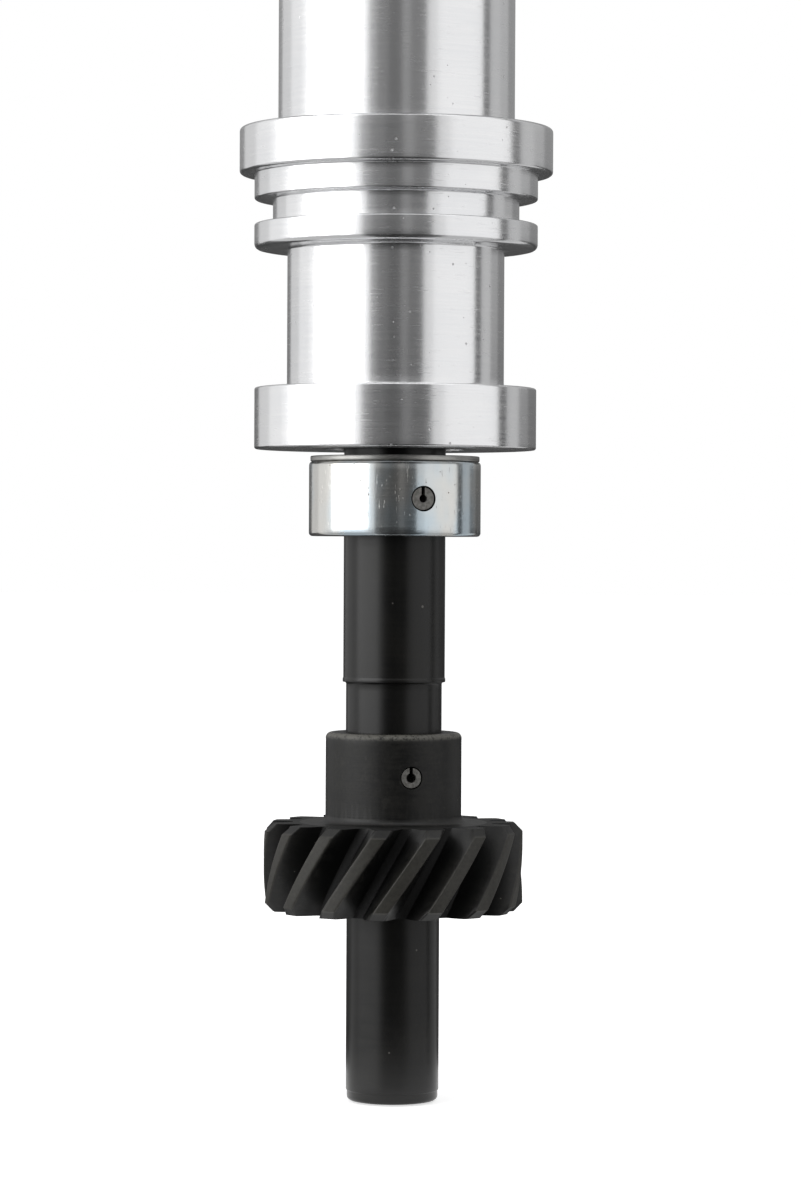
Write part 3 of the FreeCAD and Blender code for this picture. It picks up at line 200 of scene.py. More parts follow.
def softbox(name, azimuth, elevation, width, height, radiance, mirrored=True):
    """A soft lamp that faces the object. Its azimuth is counted from the camera's side to the right.
    A lamp that isn't mirrored lights the object but shows in no reflection."""
    lamp = bpy.data.lights.new(name, "AREA")
    lamp.shape = "RECTANGLE"
    lamp.size = width
    lamp.size_y = height
    lamp.energy = radiance * math.pi * width * height
    item = bpy.data.objects.new(name, lamp)
    bpy.context.collection.objects.link(item)
    a, e = math.radians(azimuth), math.radians(elevation)
    out = Vector((math.sin(a) * math.cos(e), -math.cos(a) * math.cos(e), math.sin(e)))
    item.location = out * lamp_distance
    item.rotation_mode = "QUATERNION"
    item.rotation_quaternion = (-out).to_track_quat("-Z", "Y")
    item.visible_camera = False
    item.visible_glossy = mirrored


softbox("key_left", -64, 6, 0.98, 1.5, 2.0)
softbox("fill_right", 62, 6, 0.80, 1.5, 0.45, mirrored=False)
softbox("top", 20, 78, 0.9, 0.9, 0.6)
softbox("rear", 168, 20, 0.9, 1.2, 0.6, mirrored=False)

# Cards: grey sheets that only the object's reflections show. Outer ones lie on the floor and bend up
# into a wall round the object, inner ones lie on the floor near it. Those in front stand for the
# dark side of the room, where the camera is.
inner_radius, card_radius, card_high = 0.55, 1.3, 1.4
card_floor = cad_box[0][2] + 1 * MM


def grey_card(name, start, end, level, places):
    """The places, as pairs of a radius and a height, are swept from the azimuth start to end."""
    bm = bmesh.new()
    a = math.radians(start)
    ends = [bm.verts.new((math.sin(a) * r, -math.cos(a) * r, z)) for r, z in places]
    edges = [bm.edges.new(pair) for pair in zip(ends, ends[1:])]
    bmesh.ops.spin(bm, geom=[*ends, *edges], cent=(0, 0, 0), axis=(0, 0, 1),
                   angle=math.radians(end - start), steps=max(2, int((end - start) / 4)))

    def grey_sheet(signal):
        """Even grey, or for a dark card, grey that brightens from the floor upwards."""
        place = signal.node("NewGeometry", {})
        height = place.node("SeparateXYZ", {"Vector": place}, output="Z")
        rise = (height * 2.7 + 0.54).clamped() if level < 0.5 else 1.0
        return signal.node("Emission", {"Color": (level, level, level, 1.0), "Strength": rise})

    card = stage_mesh(name, bm, grey_sheet)
    card.visible_camera = False
    card.visible_diffuse = False
    card.visible_transmission = False
    card.visible_shadow = False


outer = [(inner_radius, card_floor), (card_radius, card_floor), (card_radius, card_high)]
inner = [(0.03, card_floor), (inner_radius, card_floor)]
for name, start, end, wall, ground in [
        ("front_a", -27, -19, 0.44, 0.49), ("front_b", -19, -8, 0.26, 0.24),
        ("front_c", -8, 5, 0.175, 0.14), ("front_d", 5, 13, 0.37, 0.26),
        ("front_e", 13, 29, 0.23, 0.20), ("right_a", 29, 40, 0.76, 0.49),
        ("right_b", 40, 90, 0.94, 0.50), ("line", 92, 102, 0.18, 0.18),
        ("right_c", 102, 120, 0.52, 0.52), ("right_d", 120, 138, 0.48, 0.62),
        ("back_a", 138, 175, 0.30, 0.49), ("back_b", 175, 212, 0.30, 0.30),
        ("left_a", 212, 236, 0.66, 0.46), ("left_b", 236, 256, 0.88, 0.62)]:
    grey_card("card_" + name, start, end, wall, outer)
    grey_card("card_inner_" + name, start, end, ground, inner)
grey_card("card_floor_left", 256, 333, 0.78, outer[:2])
grey_card("card_inner_left", 256, 333, 0.50, inner)


# Housing: the stem with its flange, rings and shank and the bowl above it are one piece of
# aluminium, turned and polished. Two ears on the rim take the cap's screws.
def finish_for(name, shade_of, **constants):
    """A new material. shade_of gets a point's place in millimetres and returns what varies with it."""
    made = bpy.data.materials.new(name)
    made.use_nodes = True
    shader = made.node_tree.nodes["Principled BSDF"]
    for key, value in constants.items():
        shader.inputs[key.replace("_", " ")].default_value = value
    place = Signal(made.node_tree).node("TexCoord", {}, output="Object")
    place = place.node("VectorMath", {0: place, 3: 1 / MM}, operation="SCALE")
    for key, value in shade_of(place).items():
        made.node_tree.links.new(value.socket, shader.inputs[key])
    return made


def part_of(place, axis):
    return place.node("SeparateXYZ", {0: place}, output=axis)


def radius_at(place):
    across, along = part_of(place, "X"), part_of(place, "Y")
    return (across * across + along * along) ** 0.5


def stretched(place, factors):
    return place.node("VectorMath", {0: place, 1: factors}, operation="MULTIPLY")


def noise(place, scale, detail, roughness=0.5):
    return place.node("TexNoise", {"Vector": place, "Scale": scale, "Detail": detail,
                                   "Roughness": roughness})


def nicks(place, spacing, size, share):
    """Small spots where something has touched the surface: 1 on a spot and 0 elsewhere."""
    cell = place.node("TexVoronoi", {"Vector": place, "Scale": 1 / spacing})
    luck = place.node("TexVoronoi", {"Vector": place, "Scale": 1 / spacing}, output="Color")
    luck = place.node("SeparateColor", {"Color": luck}, output="Red")
    return (1 - cell.from_to(size * 0.5, size)) * (luck > 1 - share)


def bump(height, distance, strength):
    return height.node("Bump", {"Height": height, "Distance": distance * MM, "Strength": strength})


def marks_along(level, fine, coarse):
    close = level.node("TexNoise", {"W": level * fine, "Scale": 1.0, "Detail": 3.0,
                                    "Roughness": 0.7}, noise_dimensions="1D")
    wide = level.node("TexNoise", {"W": level * coarse, "Scale": 1.0, "Detail": 1.0},
                      noise_dimensions="1D")
    return close * 0.75 + wide * 0.25


def turning_marks(place, fine, coarse):
    """Rings that a lathe tool leaves along walls and across ends, as a height from about 0 to 1."""
    return marks_along(part_of(place, "Z") + radius_at(place), fine, coarse)


def polished_aluminium(place):
    rings = turning_marks(place, 5.0, 0.8)
    streaks = noise(stretched(place, (0.12, 0.12, 3.0)), 1.0, 3.0)
    cloud = noise(place, 0.09, 3.0)
    spots = nicks(place, 2.6, 0.085, 0.40)
    pits = nicks(place, 1.2, 0.085, 0.30)
    scratch = noise(stretched(place, (0.30, 0.30, 4.5)), 1.0, 2.0, 0.5)
    scratch = scratch.from_to(0.63, 0.73)
    wear = (spots + pits).clamped()
    tone = (streaks * 0.5 + cloud * 0.5).from_to(0.25, 0.75)
    colour = tone.between((0.83, 0.835, 0.85), (0.90, 0.90, 0.905))
    colour = (wear * 0.15).between(colour, (0.30, 0.29, 0.28))
    rough = 0.08 + rings * 0.14 + streaks * 0.12 + wear * 0.42 + scratch * 0.10
    return {"Base Color": colour, "Roughness": rough,
            "Normal": bump(rings - wear * 4.0 - scratch * 0.2, 0.005, 0.60)}


aluminium = finish_for("polished_aluminium", polished_aluminium, Metallic=1.0, Anisotropic=0.55,
                       Anisotropic_Rotation=0.25)


def grained(name, scales, tones, rough, relief, edge=0.3, **constants):
    """A finish with one even grain. scales are the grain's scale, detail and roughness, tones its
    dark and light colour, rough the least roughness and what the grain adds to it, and relief
    the bump's depth and strength. The colours change over between edge and 1 - edge."""
    def shade_of(place):
        grain = noise(place, *scales)
        return {"Base Color": grain.from_to(edge, 1 - edge).between(*tones),
                "Roughness": rough[0] + grain * rough[1], "Normal": bump(grain, *relief)}
    return finish_for(name, shade_of, **constants)


def soften(bm, geom, amount, affect="EDGES", segments=3):
    """Rounds edges or vertices by an amount in millimetres."""
    bmesh.ops.bevel(bm, geom=geom, offset=amount * MM, offset_type="OFFSET", affect=affect,
                    segments=segments, profile=0.5, material=-1)


def rounded(bm, corners):
    """A line through corners (radius, height, rounding) in millimetres, with its corners rounded."""
    verts = [bm.verts.new((radius * MM, 0, height * MM)) for radius, height, amount in corners]
    for i in range(len(verts) - 1):
        bm.edges.new((verts[i], verts[i + 1]))
    for vert, (radius, height, amount) in zip(verts, corners):
        if amount:
            soften(bm, [vert], amount, affect="VERTICES", segments=4)


def add_turned(bm, corners, steps=192, centre=(0, 0), closed=True):
    """Turns the line through the corners about an upright axis. closed joins the line's ends, and
    long straight runs are divided about every 0.9 mm."""
    part = bmesh.new()
    if closed:
        corners = [*corners, (*corners[0][:2], 0)]
        corners[0] = (*corners[0][:2], 0)
    rounded(part, corners)
    bmesh.ops.remove_doubles(part, verts=part.verts, dist=1e-7)
    for edge in [e for e in part.edges if e.calc_length() > 1.2 * MM]:
        cuts = min(60, int(edge.calc_length() / (0.9 * MM)))
        bmesh.ops.subdivide_edges(part, edges=[edge], cuts=cuts)
    bmesh.ops.spin(part, geom=[*part.verts, *part.edges], cent=(0, 0, 0), axis=(0, 0, 1),
                   angle=math.tau, steps=steps, use_merge=True)
    bmesh.ops.remove_doubles(part, verts=part.verts, dist=1e-7)
    bmesh.ops.translate(part, verts=part.verts, vec=Vector((*centre, 0)) * MM)
    bmesh.ops.recalc_face_normals(part, faces=part.faces)
    merge_in(bm, part)


def merge_in(bm, part):
    """Adds the mesh part to bm."""
    mesh = bpy.data.meshes.new("part")
    part.to_mesh(mesh)
    part.free()
    bm.from_mesh(mesh)
    bpy.data.meshes.remove(mesh)


def object_of(bm, name, angle=28):
    mesh = bpy.data.meshes.new(name)
    bm.to_mesh(mesh)
    bm.free()
    item = bpy.data.objects.new(name, mesh)
    bpy.context.collection.objects.link(item)
    mesh.shade_smooth()
    mesh.set_sharp_from_angle(angle=math.radians(angle))
    return item


def settle(item):
    """Works the piece's modifiers into its mesh."""
    graph = bpy.context.evaluated_depsgraph_get()
    mesh = bpy.data.meshes.new_from_object(item.evaluated_get(graph), depsgraph=graph)
    item.modifiers.clear()
    item.data = mesh


def carve(item, cutter, operation="DIFFERENCE"):
    """Cuts the mesh cutter out of the piece, or joins it on."""
    tool = object_of(cutter, item.name + "_cutter")
    cut = item.modifiers.new("cut", "BOOLEAN")
    cut.operation = operation
    cut.object = tool
    cut.solver = "EXACT"
    settle(item)
    bpy.data.objects.remove(tool)


def even_shading(item, angle=28):
    """Keeps flat faces flat beside the rounded edges."""
    item.data.shade_smooth()
    item.data.set_sharp_from_angle(angle=math.radians(angle))
    weigh = item.modifiers.new("weigh", "WEIGHTED_NORMAL")
    weigh.keep_sharp = True
    settle(item)


def put_on(item, material, body, nodes):
    """Gives the piece its finish and its body, and hides the CAD nodes that it stands for."""
    item.data.materials.clear()
    item.data.materials.append(material)
    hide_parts(*nodes)
    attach(item, body)


def rod(radius, low, high, centre=(0, 0), sides=64):
    """A plain upright cylinder, to cut with or to join on."""
    bm = bmesh.new()
    bmesh.ops.create_cone(bm, cap_ends=True, segments=sides, radius1=radius * MM,
                          radius2=radius * MM, depth=(high - low) * MM)
    middle = Vector((*centre, (low + high) / 2)) * MM
    bmesh.ops.translate(bm, verts=bm.verts, vec=middle)
    return bm


def lie(bm, azimuth, level):
    """Lays what stands on the origin down, so that up points outwards at the azimuth."""
    turn = Matrix.Rotation(math.radians(azimuth), 4, "Z") @ Matrix.Rotation(math.pi / 2, 4, "Y")
    bmesh.ops.transform(bm, matrix=Matrix.Translation((0, 0, level * MM)) @ turn, verts=bm.verts)
    return bm


def ear_of(side, low, thick, slope=0.0):
    """A rounded ear for a cap screw. Its underside falls by the slope towards the object's wall."""
    ear = bmesh.new()
    bmesh.ops.create_circle(ear, cap_ends=True, segments=64, radius=ear_radius * MM)
    inner = [v for v in ear.verts if v.co.x * side < 0]
    bmesh.ops.translate(ear, verts=inner, vec=(-side * ear_root * MM, 0, 0))
    bmesh.ops.translate(ear, verts=ear.verts, vec=(side * ear_circle * MM, 0, low * MM))
    lifted = bmesh.ops.extrude_face_region(ear, geom=list(ear.faces))["geom"]
    top = [g for g in lifted if isinstance(g, bmesh.types.BMVert)]
    bmesh.ops.translate(ear, verts=top, vec=(0, 0, thick * MM))
    for vert in ear.verts:
        if vert.co.z < (low + thick / 2) * MM:
            vert.co.z -= max(0.0, (ear_circle * MM - abs(vert.co.x)) * slope)
    rim = [e for e in ear.edges if abs(e.verts[0].co.z - e.verts[1].co.z) < 3.9 * MM
           and len(e.link_faces) == 2 and e.calc_face_angle(0) > 1.0]
    soften(ear, rim, 0.5)
    bmesh.ops.recalc_face_normals(ear, faces=ear.faces)
    return ear


def around(circle, azimuth):
    """The place at an azimuth in degrees on a circle about the axis."""
    a = math.radians(azimuth)
    return circle * math.cos(a), circle * math.sin(a)


pilot_low, pilot_top, pilot_radius = -38.17, -29.62, 19.62
shank_top, shank_radius = -10.43, 15.1
groove_low, groove_top, groove_radius, ring_radius = -6.93, -3.5, 17.15, 19.72
flange_top, flange_radius = 6.35, 21.8
tube_top, tube_radius, housing_bore = 37.85, 16.45, 9.6
bearing_low, bearing_seat = 40.85, 14.05
bowl_floor, bowl_ledge, bowl_top = 50.85, 72.85, 91.85
bowl_radius, bowl_bore, ledge_bore = 43.0, 40.0, 37.0
ear_circle, ear_radius, ear_root, ear_bore = 47.0, 5.5, 4.5, 2.48
boss_circle, boss_azimuths, boss_radius, boss_bore = 34.5, (30, 150, 270), 3.6, 1.95
lead_level, lead_azimuth, lead_hole = 81.95, 40.0, 4.6
housing_line = [
    (housing_bore, pilot_low, 0.25), (pilot_radius, pilot_low, 0.3), (pilot_radius, pilot_top, 0.3),
    (shank_radius, pilot_top, 0.35), (shank_radius, shank_top, 0.3), (ring_radius, shank_top, 0.75),
    (ring_radius, groove_low, 0.25), (groove_radius, groove_low, 0.2),
    (groove_radius, groove_top, 0.2), (ring_radius, groove_top, 0.25), (ring_radius, 0, 0.12),
    (flange_radius, 0, 0.45), (flange_radius, flange_top, 0.45), (tube_radius, flange_top, 0.3),
    (tube_radius, tube_top, 4.0), (23.0, 43.35, 1.5), (bowl_radius, 45.85, 4.0),
    (bowl_radius, bowl_top, 0.6), (bowl_bore, bowl_top, 0.3), (bowl_bore, bowl_ledge, 0),
    (ledge_bore, bowl_ledge, 0.3), (ledge_bore, bowl_floor, 1.5), (bearing_seat, bowl_floor, 0.4),
    (bearing_seat, bearing_low, 0), (housing_bore, bearing_low, 0),
]
bm = bmesh.new()
add_turned(bm, housing_line, steps=216)
housing = object_of(bm, "housing_turned")
joined, holes = bmesh.new(), bmesh.new()
for side in (1, -1):
    merge_in(joined, ear_of(side, bowl_top - 10, 10, slope=0.6))
    merge_in(holes, rod(ear_bore, bowl_top - 9, bowl_top + 1, (side * ear_circle, 0)))
for azimuth in boss_azimuths:
    centre = around(boss_circle, azimuth)
    merge_in(joined, rod(boss_radius, bowl_floor - 0.85, bowl_ledge, centre))
    merge_in(holes, rod(boss_bore, bowl_ledge - 9, bowl_ledge + 0.65, centre))
merge_in(holes, lie(rod(lead_hole, 20, 60), lead_azimuth, lead_level))
carve(housing, joined, "UNION")
carve(housing, holes)
even_shading(housing)
put_on(housing, aluminium, "housing", ["housing", "bowl_floor", "bowl_wall"])


# Main shaft: ground steel with a black oxide finish. A small step above the gear marks where it
# gets a little thicker. Its tail ends in a hex socket for the oil pump's drive.
def black_oxide(place):
    rings = turning_marks(place, 4.0, 0.7)
    streaks = noise(stretched(place, (0.15, 0.15, 2.2)), 1.0, 3.0)
    cloud = noise(place, 0.16, 4.0)
    spots = nicks(place, 4.0, 0.06, 0.22)
    dust = nicks(place, 1.3, 0.045, 0.10)
    wear = (spots + dust).clamped()
    tone = (cloud * 0.6 + streaks * 0.4).from_to(0.3, 0.72)
    colour = tone.between((0.0010, 0.0010, 0.0010), (0.0042, 0.0038, 0.0028))
    colour = (wear * 0.65).between(colour, (0.16, 0.15, 0.14))
    rough = 0.22 + streaks * 0.10 + cloud * 0.08 + wear * 0.2
    return {"Base Color": colour, "Roughness": rough,
            "Normal": bump(rings + wear * 0.5, 0.004, 0.5)}


oxide = finish_for("black_oxide", black_oxide, Metallic=0.0, Specular_IOR_Level=0.42,
                   Anisotropic=0.4, Anisotropic_Rotation=0.25)
tail_low, tail_top, tail_radius, gear_seat = -128.8, -102.35, 6.48, 6.67
step_low, step_radius, shaft_radius = -70.5, 7.16, 7.075
journal_top, journal_radius = 92.35, 6.0
clip_low, clip_top, clip_radius = 90.05, 90.75, 5.1
hex_across, hex_depth = 7.94, 16
shaft_line = [
    (0, tail_low, 0), (6.34, tail_low, 0.6), (6.34, tail_low + 1.4, 0.05),
    (tail_radius, tail_low + 1.5, 0.06), (tail_radius, tail_top, 0), (gear_seat, tail_top, 0),
    (gear_seat, step_low, 0.3), (step_radius, step_low, 0.12), (step_radius, step_low + 0.45, 0.12),
    (shaft_radius, step_low + 0.65, 0.05), (shaft_radius, bearing_low, 0.2),
    (journal_radius, bearing_low, 0), (journal_radius, clip_low, 0.05), (clip_radius, clip_low, 0),
    (clip_radius, clip_top, 0), (journal_radius, clip_top, 0.05), (journal_radius, journal_top, 0.5),
    (0, journal_top, 0),
]
bm = bmesh.new()
add_turned(bm, shaft_line, steps=160, closed=False)
shaft = object_of(bm, "main_shaft_ground")
carve(shaft, rod(hex_across / math.sqrt(3), tail_low - 1, tail_low + hex_depth, sides=6))
even_shading(shaft)
put_on(shaft, oxide, "main_shaft", ["main_shaft"])


# Thrust washer: a thin ring of ground steel. It lies loose on the collar and turns with the shaft,
# just below the housing.
def ground_steel(place):
    grain = noise(stretched(place, (1.0, 1.0, 6.0)), 1.5, 3.0)
    cloud = noise(place, 0.3, 2.0)
    colour = (grain * 0.5 + cloud * 0.5).from_to(0.3, 0.7).between((0.32, 0.32, 0.31),
                                                                  (0.50, 0.49, 0.47))
    return {"Base Color": colour, "Roughness": 0.24 + grain * 0.2,
            "Normal": bump(grain, 0.004, 0.5)}


steel = finish_for("ground_steel", ground_steel, Metallic=1.0)
washer_low, washer_top, washer_bore, washer_radius = -39.85, -39.10, 7.225, 11.78
bm = bmesh.new()
add_turned(bm, [(washer_bore, washer_low, 0.08), (washer_radius, washer_low, 0.15),
                (washer_radius, washer_top, 0.15), (washer_bore, washer_top, 0.08)])
washer = object_of(bm, "thrust_washer_ground")
even_shading(washer)
put_on(washer, steel, "main_shaft", ["thrust_washer"])


# Collar: a turned steel ring with bright zinc plating, pinned to the shaft. Its edges are broken
# and the plating shows fine scratches.
def zinc_plate(place):
    rings = turning_marks(place, 3.5, 1.0)
    streaks = noise(stretched(place, (0.25, 0.25, 2.5)), 1.0, 4.0, 0.6)
    tint = noise(stretched(place, (1.0, 1.0, 0.5)), 0.16, 2.0)
    scratch = noise(stretched(place, (2.5, 2.5, 0.35)), 1.2, 4.0, 0.7)
    scratch = scratch.from_to(0.62, 0.70)
    spots = nicks(place, 1.1, 0.13, 0.50)
    wear = (spots + scratch * 0.7).clamped()
    colour = tint.from_to(0.35, 0.65).between((0.57, 0.66, 0.72), (0.72, 0.71, 0.68))
    colour = (wear * 0.55).between(colour, (0.26, 0.20, 0.15))
    rough = 0.05 + rings * 0.12 + streaks * 0.14 + wear * 0.3
    return {"Base Color": colour, "Roughness": rough,
            "Normal": bump(rings - wear * 3.0, 0.006, 0.6)}


zinc = finish_for("zinc_plate", zinc_plate, Metallic=1.0, Anisotropic=0.4,
                  Anisotropic_Rotation=0.25)
collar_low, collar_top, collar_bore, collar_radius = -50.25, -39.87, 7.11, 11.965
collar_pin_azimuth, collar_pin_level, collar_pin_hole = -90 + 19.4, -45.1, 1.76
bm = bmesh.new()
add_turned(bm, [(collar_bore, collar_low, 0.2), (collar_radius, collar_low, 0.5),
                (collar_radius, collar_top, 0.5), (collar_bore, collar_top, 0.2)], steps=224)
collar = object_of(bm, "collar_turned")
carve(collar, lie(rod(collar_pin_hole, -15, 15, sides=48), collar_pin_azimuth, collar_pin_level))
even_shading(collar)
put_on(collar, zinc, "main_shaft", ["collar"])


# Drive gear: one steel forging with its hub, hobbed with right-hand helical teeth, chamfered at
# both ends and blackened. A slotted spring pin holds it on the shaft.
def blackened_gear(place):
    radius, height = radius_at(place), part_of(place, "Z")
    grain = noise(place, 2.0, 4.0, 0.65)
    cloud = noise(place, 0.35, 4.0, 0.6)
    marks = turning_marks(place, 4.0, 0.8)
    land = radius.from_to(tip_radius - 0.35, tip_radius - 0.05)
    streaks = noise(stretched(place, (0.35, 0.35, 3.0)), 0.8, 3.0, 0.6)
    rim = (radius > 8.7) * (radius < 9.6) * height.from_to(hub_top - 1.0, hub_top - 0.3)
    smudge = noise(place, 0.45, 3.0, 0.7).from_to(0.56, 0.72)
    # Painted shade: the valleys between the teeth are darkened towards their roots, where shade falls.
    painted_valley_shade = radius.from_to(17.6, 15.6) * radius.from_to(12.9, 13.2)
    spots = nicks(place, 1.5, 0.09, 0.12)
    tone = (cloud * 0.5 + grain * 0.2 + streaks * 0.3).from_to(0.38, 0.62)
    colour = tone.between((0.0008, 0.0008, 0.0007), (0.0080, 0.0076, 0.0062))
    # Painted shade darkens the tooth valleys here.
    colour = (painted_valley_shade * 0.85).between(colour, (0.0008, 0.0008, 0.0008))
    colour = (smudge * (1 - painted_valley_shade) * 0.6).between(colour, (0.020, 0.019, 0.016))
    colour = (land * (0.20 + grain * 0.9)).clamped().between(colour, (0.040, 0.038, 0.032))
    colour = (rim * grain.from_to(0.30, 0.55) * 0.8).between(colour, (0.13, 0.125, 0.11))
    colour = (spots * 0.6).between(colour, (0.20, 0.19, 0.16))
    rough = 0.30 + cloud * 0.16 + streaks * 0.10 + painted_valley_shade * 0.15
    return {"Base Color": colour, "Roughness": rough,
            "Normal": bump(grain * 0.6 + marks * 0.4, 0.040, 0.55)}


gear_low, gear_top, hub_top = -102.3, -90.05, -77.5
tooth_count, tip_radius, end_radius, web_radius = 15, 18.05, 16.9, 13.0
hub_radius, gear_bore = 9.48, 6.70
gear_pin_azimuth, gear_pin_level, gear_pin_hole = -90 + 15.4, -83.4, 1.56
# The teeth turn by twist degrees a millimetre. A tooth is given by radius and angle, from the middle
# of its land to the middle of the valley beside it.
twist = 2.26
first_land = -90 - 16.4 + twist * (gear_low + 95.5)
half_tooth = [(tip_radius, 0.0), (tip_radius, 1.6), (tip_radius, 3.2), (17.70, 3.85), (17.23, 4.56),
              (16.24, 6.0), (15.2, 7.3), (14.42, 8.28), (14.08, 9.1), (13.97, 10.2), (13.97, 12.0)]


def turn_by(bm, verts, degrees):
    bmesh.ops.rotate(bm, verts=verts, cent=(0, 0, 0),
                     matrix=Matrix.Rotation(math.radians(degrees), 3, "Z"))


def carry(bm, ring, radius=None, height=None, turn=0.0):
    """Extrudes a closed line of edges and gives what comes out a radius, a height and a turn."""
    made = bmesh.ops.extrude_edge_only(bm, edges=ring)["geom"]
    verts = [g for g in made if isinstance(g, bmesh.types.BMVert)]
    edges = [g for g in made if isinstance(g, bmesh.types.BMEdge)]
    turn_by(bm, verts, turn)
    for vert in verts:
        if radius is not None:
            vert.co[:2] = Vector(vert.co[:2]).normalized() * radius * MM
        if height is not None:
            vert.co.z = height * MM
    return edges


def hold_within(verts, radius):
    """Draws in what stands out past the radius, as the chamfer at a gear's end does."""
    for vert in verts:
        reach = math.hypot(vert.co.x, vert.co.y)
        if reach > radius * MM:
            vert.co[:2] = Vector(vert.co[:2]) * (radius * MM / reach)


def corner_round(radius, height, amount, start, end, steps=5):
    """Places on a quarter circle, from the angle start to end about its centre."""
    turns = [around(amount, start + (end - start) * i / steps) for i in range(steps + 1)]
    return [(radius + out, height + up) for out, up in turns]


bm = bmesh.new()
half = [bm.verts.new((*around(radius * MM, first_land + angle), gear_low * MM))
        for radius, angle in half_tooth]
for pair in zip(half, half[1:]):
    bm.edges.new(pair)
soften(bm, [half[2]], 0.10, affect="VERTICES")
bmesh.ops.mirror(bm, geom=[*bm.verts, *bm.edges], axis="X", merge_dist=1e-6, mirror_u=False,
                 matrix=Matrix.Rotation(-math.radians(first_land + 90), 4, "Z"), mirror_v=False)
bmesh.ops.spin(bm, geom=[*bm.verts, *bm.edges], cent=(0, 0, 0), axis=(0, 0, 1),
               angle=math.tau, steps=tooth_count, use_duplicate=True)
bmesh.ops.remove_doubles(bm, verts=bm.verts, dist=2e-6)
foot, foot_verts = list(bm.edges), list(bm.verts)
ring = foot
chamfer, tooth_steps = 1.15, 16
levels = [gear_low, gear_low + chamfer]
levels += [gear_low + chamfer + (gear_top - gear_low - 2 * chamfer) * i / tooth_steps
           for i in range(1, tooth_steps + 1)]
levels += [gear_top]
for below, above in zip(levels, levels[1:]):
    ring = carry(bm, ring, height=above, turn=twist * (above - below))
hold_within(foot_verts, end_radius)
hold_within({v for e in ring for v in e.verts}, end_radius)
for radius, height in [(web_radius, gear_top), (hub_radius + 1.0, gear_top),
                       *corner_round(hub_radius + 1.0, gear_top + 1.0, 1.0, 270, 180)[1:],
                       *[(hub_radius, gear_top + 1.0 + k) for k in (2.5, 5.0, 7.5, 10.0)],
                       *corner_round(hub_radius - 0.8, hub_top - 0.8, 0.8, 0, 90),
                       (gear_bore + 0.3, hub_top), (gear_bore, hub_top - 0.3)]:
    ring = carry(bm, ring, radius=radius, height=height)
ring = carry(bm, foot, radius=web_radius, height=gear_low)
ring = carry(bm, ring, radius=gear_bore, height=gear_low)
bore_steps, bore_top = 14, hub_top - 0.3
for i in range(1, bore_steps + 1):
    ring = carry(bm, ring, radius=gear_bore, height=gear_low + (bore_top - gear_low) * i / bore_steps,
                 turn=twist * (gear_top - gear_low) / bore_steps)
bmesh.ops.remove_doubles(bm, verts=bm.verts, dist=2e-6)
bmesh.ops.recalc_face_normals(bm, faces=bm.faces)
gear = object_of(bm, "drive_gear_hobbed")
carve(gear, lie(rod(gear_pin_hole, -12, 12, sides=48), gear_pin_azimuth, gear_pin_level))
even_shading(gear, angle=32)
blackened = finish_for("blackened_gear", blackened_gear, Specular_IOR_Level=0.36)
put_on(gear, blackened, "main_shaft", ["drive_gear"])


# Spring pins: rolled from spring steel strip, with a slot along one side. One is driven through the
# collar and one through the gear's hub, both just below the surface.
def dress(material, *nodes):
    """Gives CAD nodes their finish."""
    for name in nodes:
        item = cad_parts[name]
        item.data.materials.clear()
        item.data.materials.append(material)
        item.data.polygons.foreach_set("material_index", [0] * len(item.data.polygons))


rolled_pin = grained("rolled_pin", (2.5, 3.0), ((0.16, 0.155, 0.145), (0.26, 0.255, 0.24)),
                     (0.36, 0.15), (0.015, 0.5), edge=0.35, Metallic=0.9)
dress(rolled_pin, "collar_pin", "gear_pin")


# Cap: moulded from black thermoplastic. Each tower has a wide foot on the deck, thin ribs run from
# the middle tower to the others, and two ears take the screws.
def moulded_black(place):
    grain = noise(place, 5.0, 3.0, 0.6)
    cloud = noise(place, 0.06, 3.0)
    scuff = noise(stretched(place, (0.5, 0.5, 2.2)), 1.4, 4.0, 0.7).from_to(0.68, 0.76)
    colour = cloud.from_to(0.3, 0.7).between((0.010, 0.010, 0.011), (0.017, 0.017, 0.018))
    colour = (scuff * 0.18).between(colour, (0.10, 0.10, 0.10))
    rough = 0.27 + cloud * 0.12 + grain * 0.06 + scuff * 0.2
    return {"Base Color": colour, "Roughness": rough,
            "Normal": bump(grain, 0.012, 0.25)}


cap_finish = finish_for("moulded_black", moulded_black)
deck, roof, socket_low, coil_stud_radius = 122.85, 118.85, 108.85, 4.14
cap_radius, cap_seat, ear_thick = 42.95, 97.85, 6
cap_line = [
    (coil_stud_radius, socket_low, 0), (7.6, socket_low, 0.5), (7.6, roof, 0.8), (35.7, roof, 2.0),
    (36.9, bowl_top - 3, 0.3), (39.9, bowl_top - 3, 0.5), (39.9, bowl_top, 0),
    (cap_radius, bowl_top, 0.3), (cap_radius, cap_seat, 0.6), (41.8, cap_seat, 0.5),
    (40.6, deck, 4.0), (coil_stud_radius, deck, 0),
]
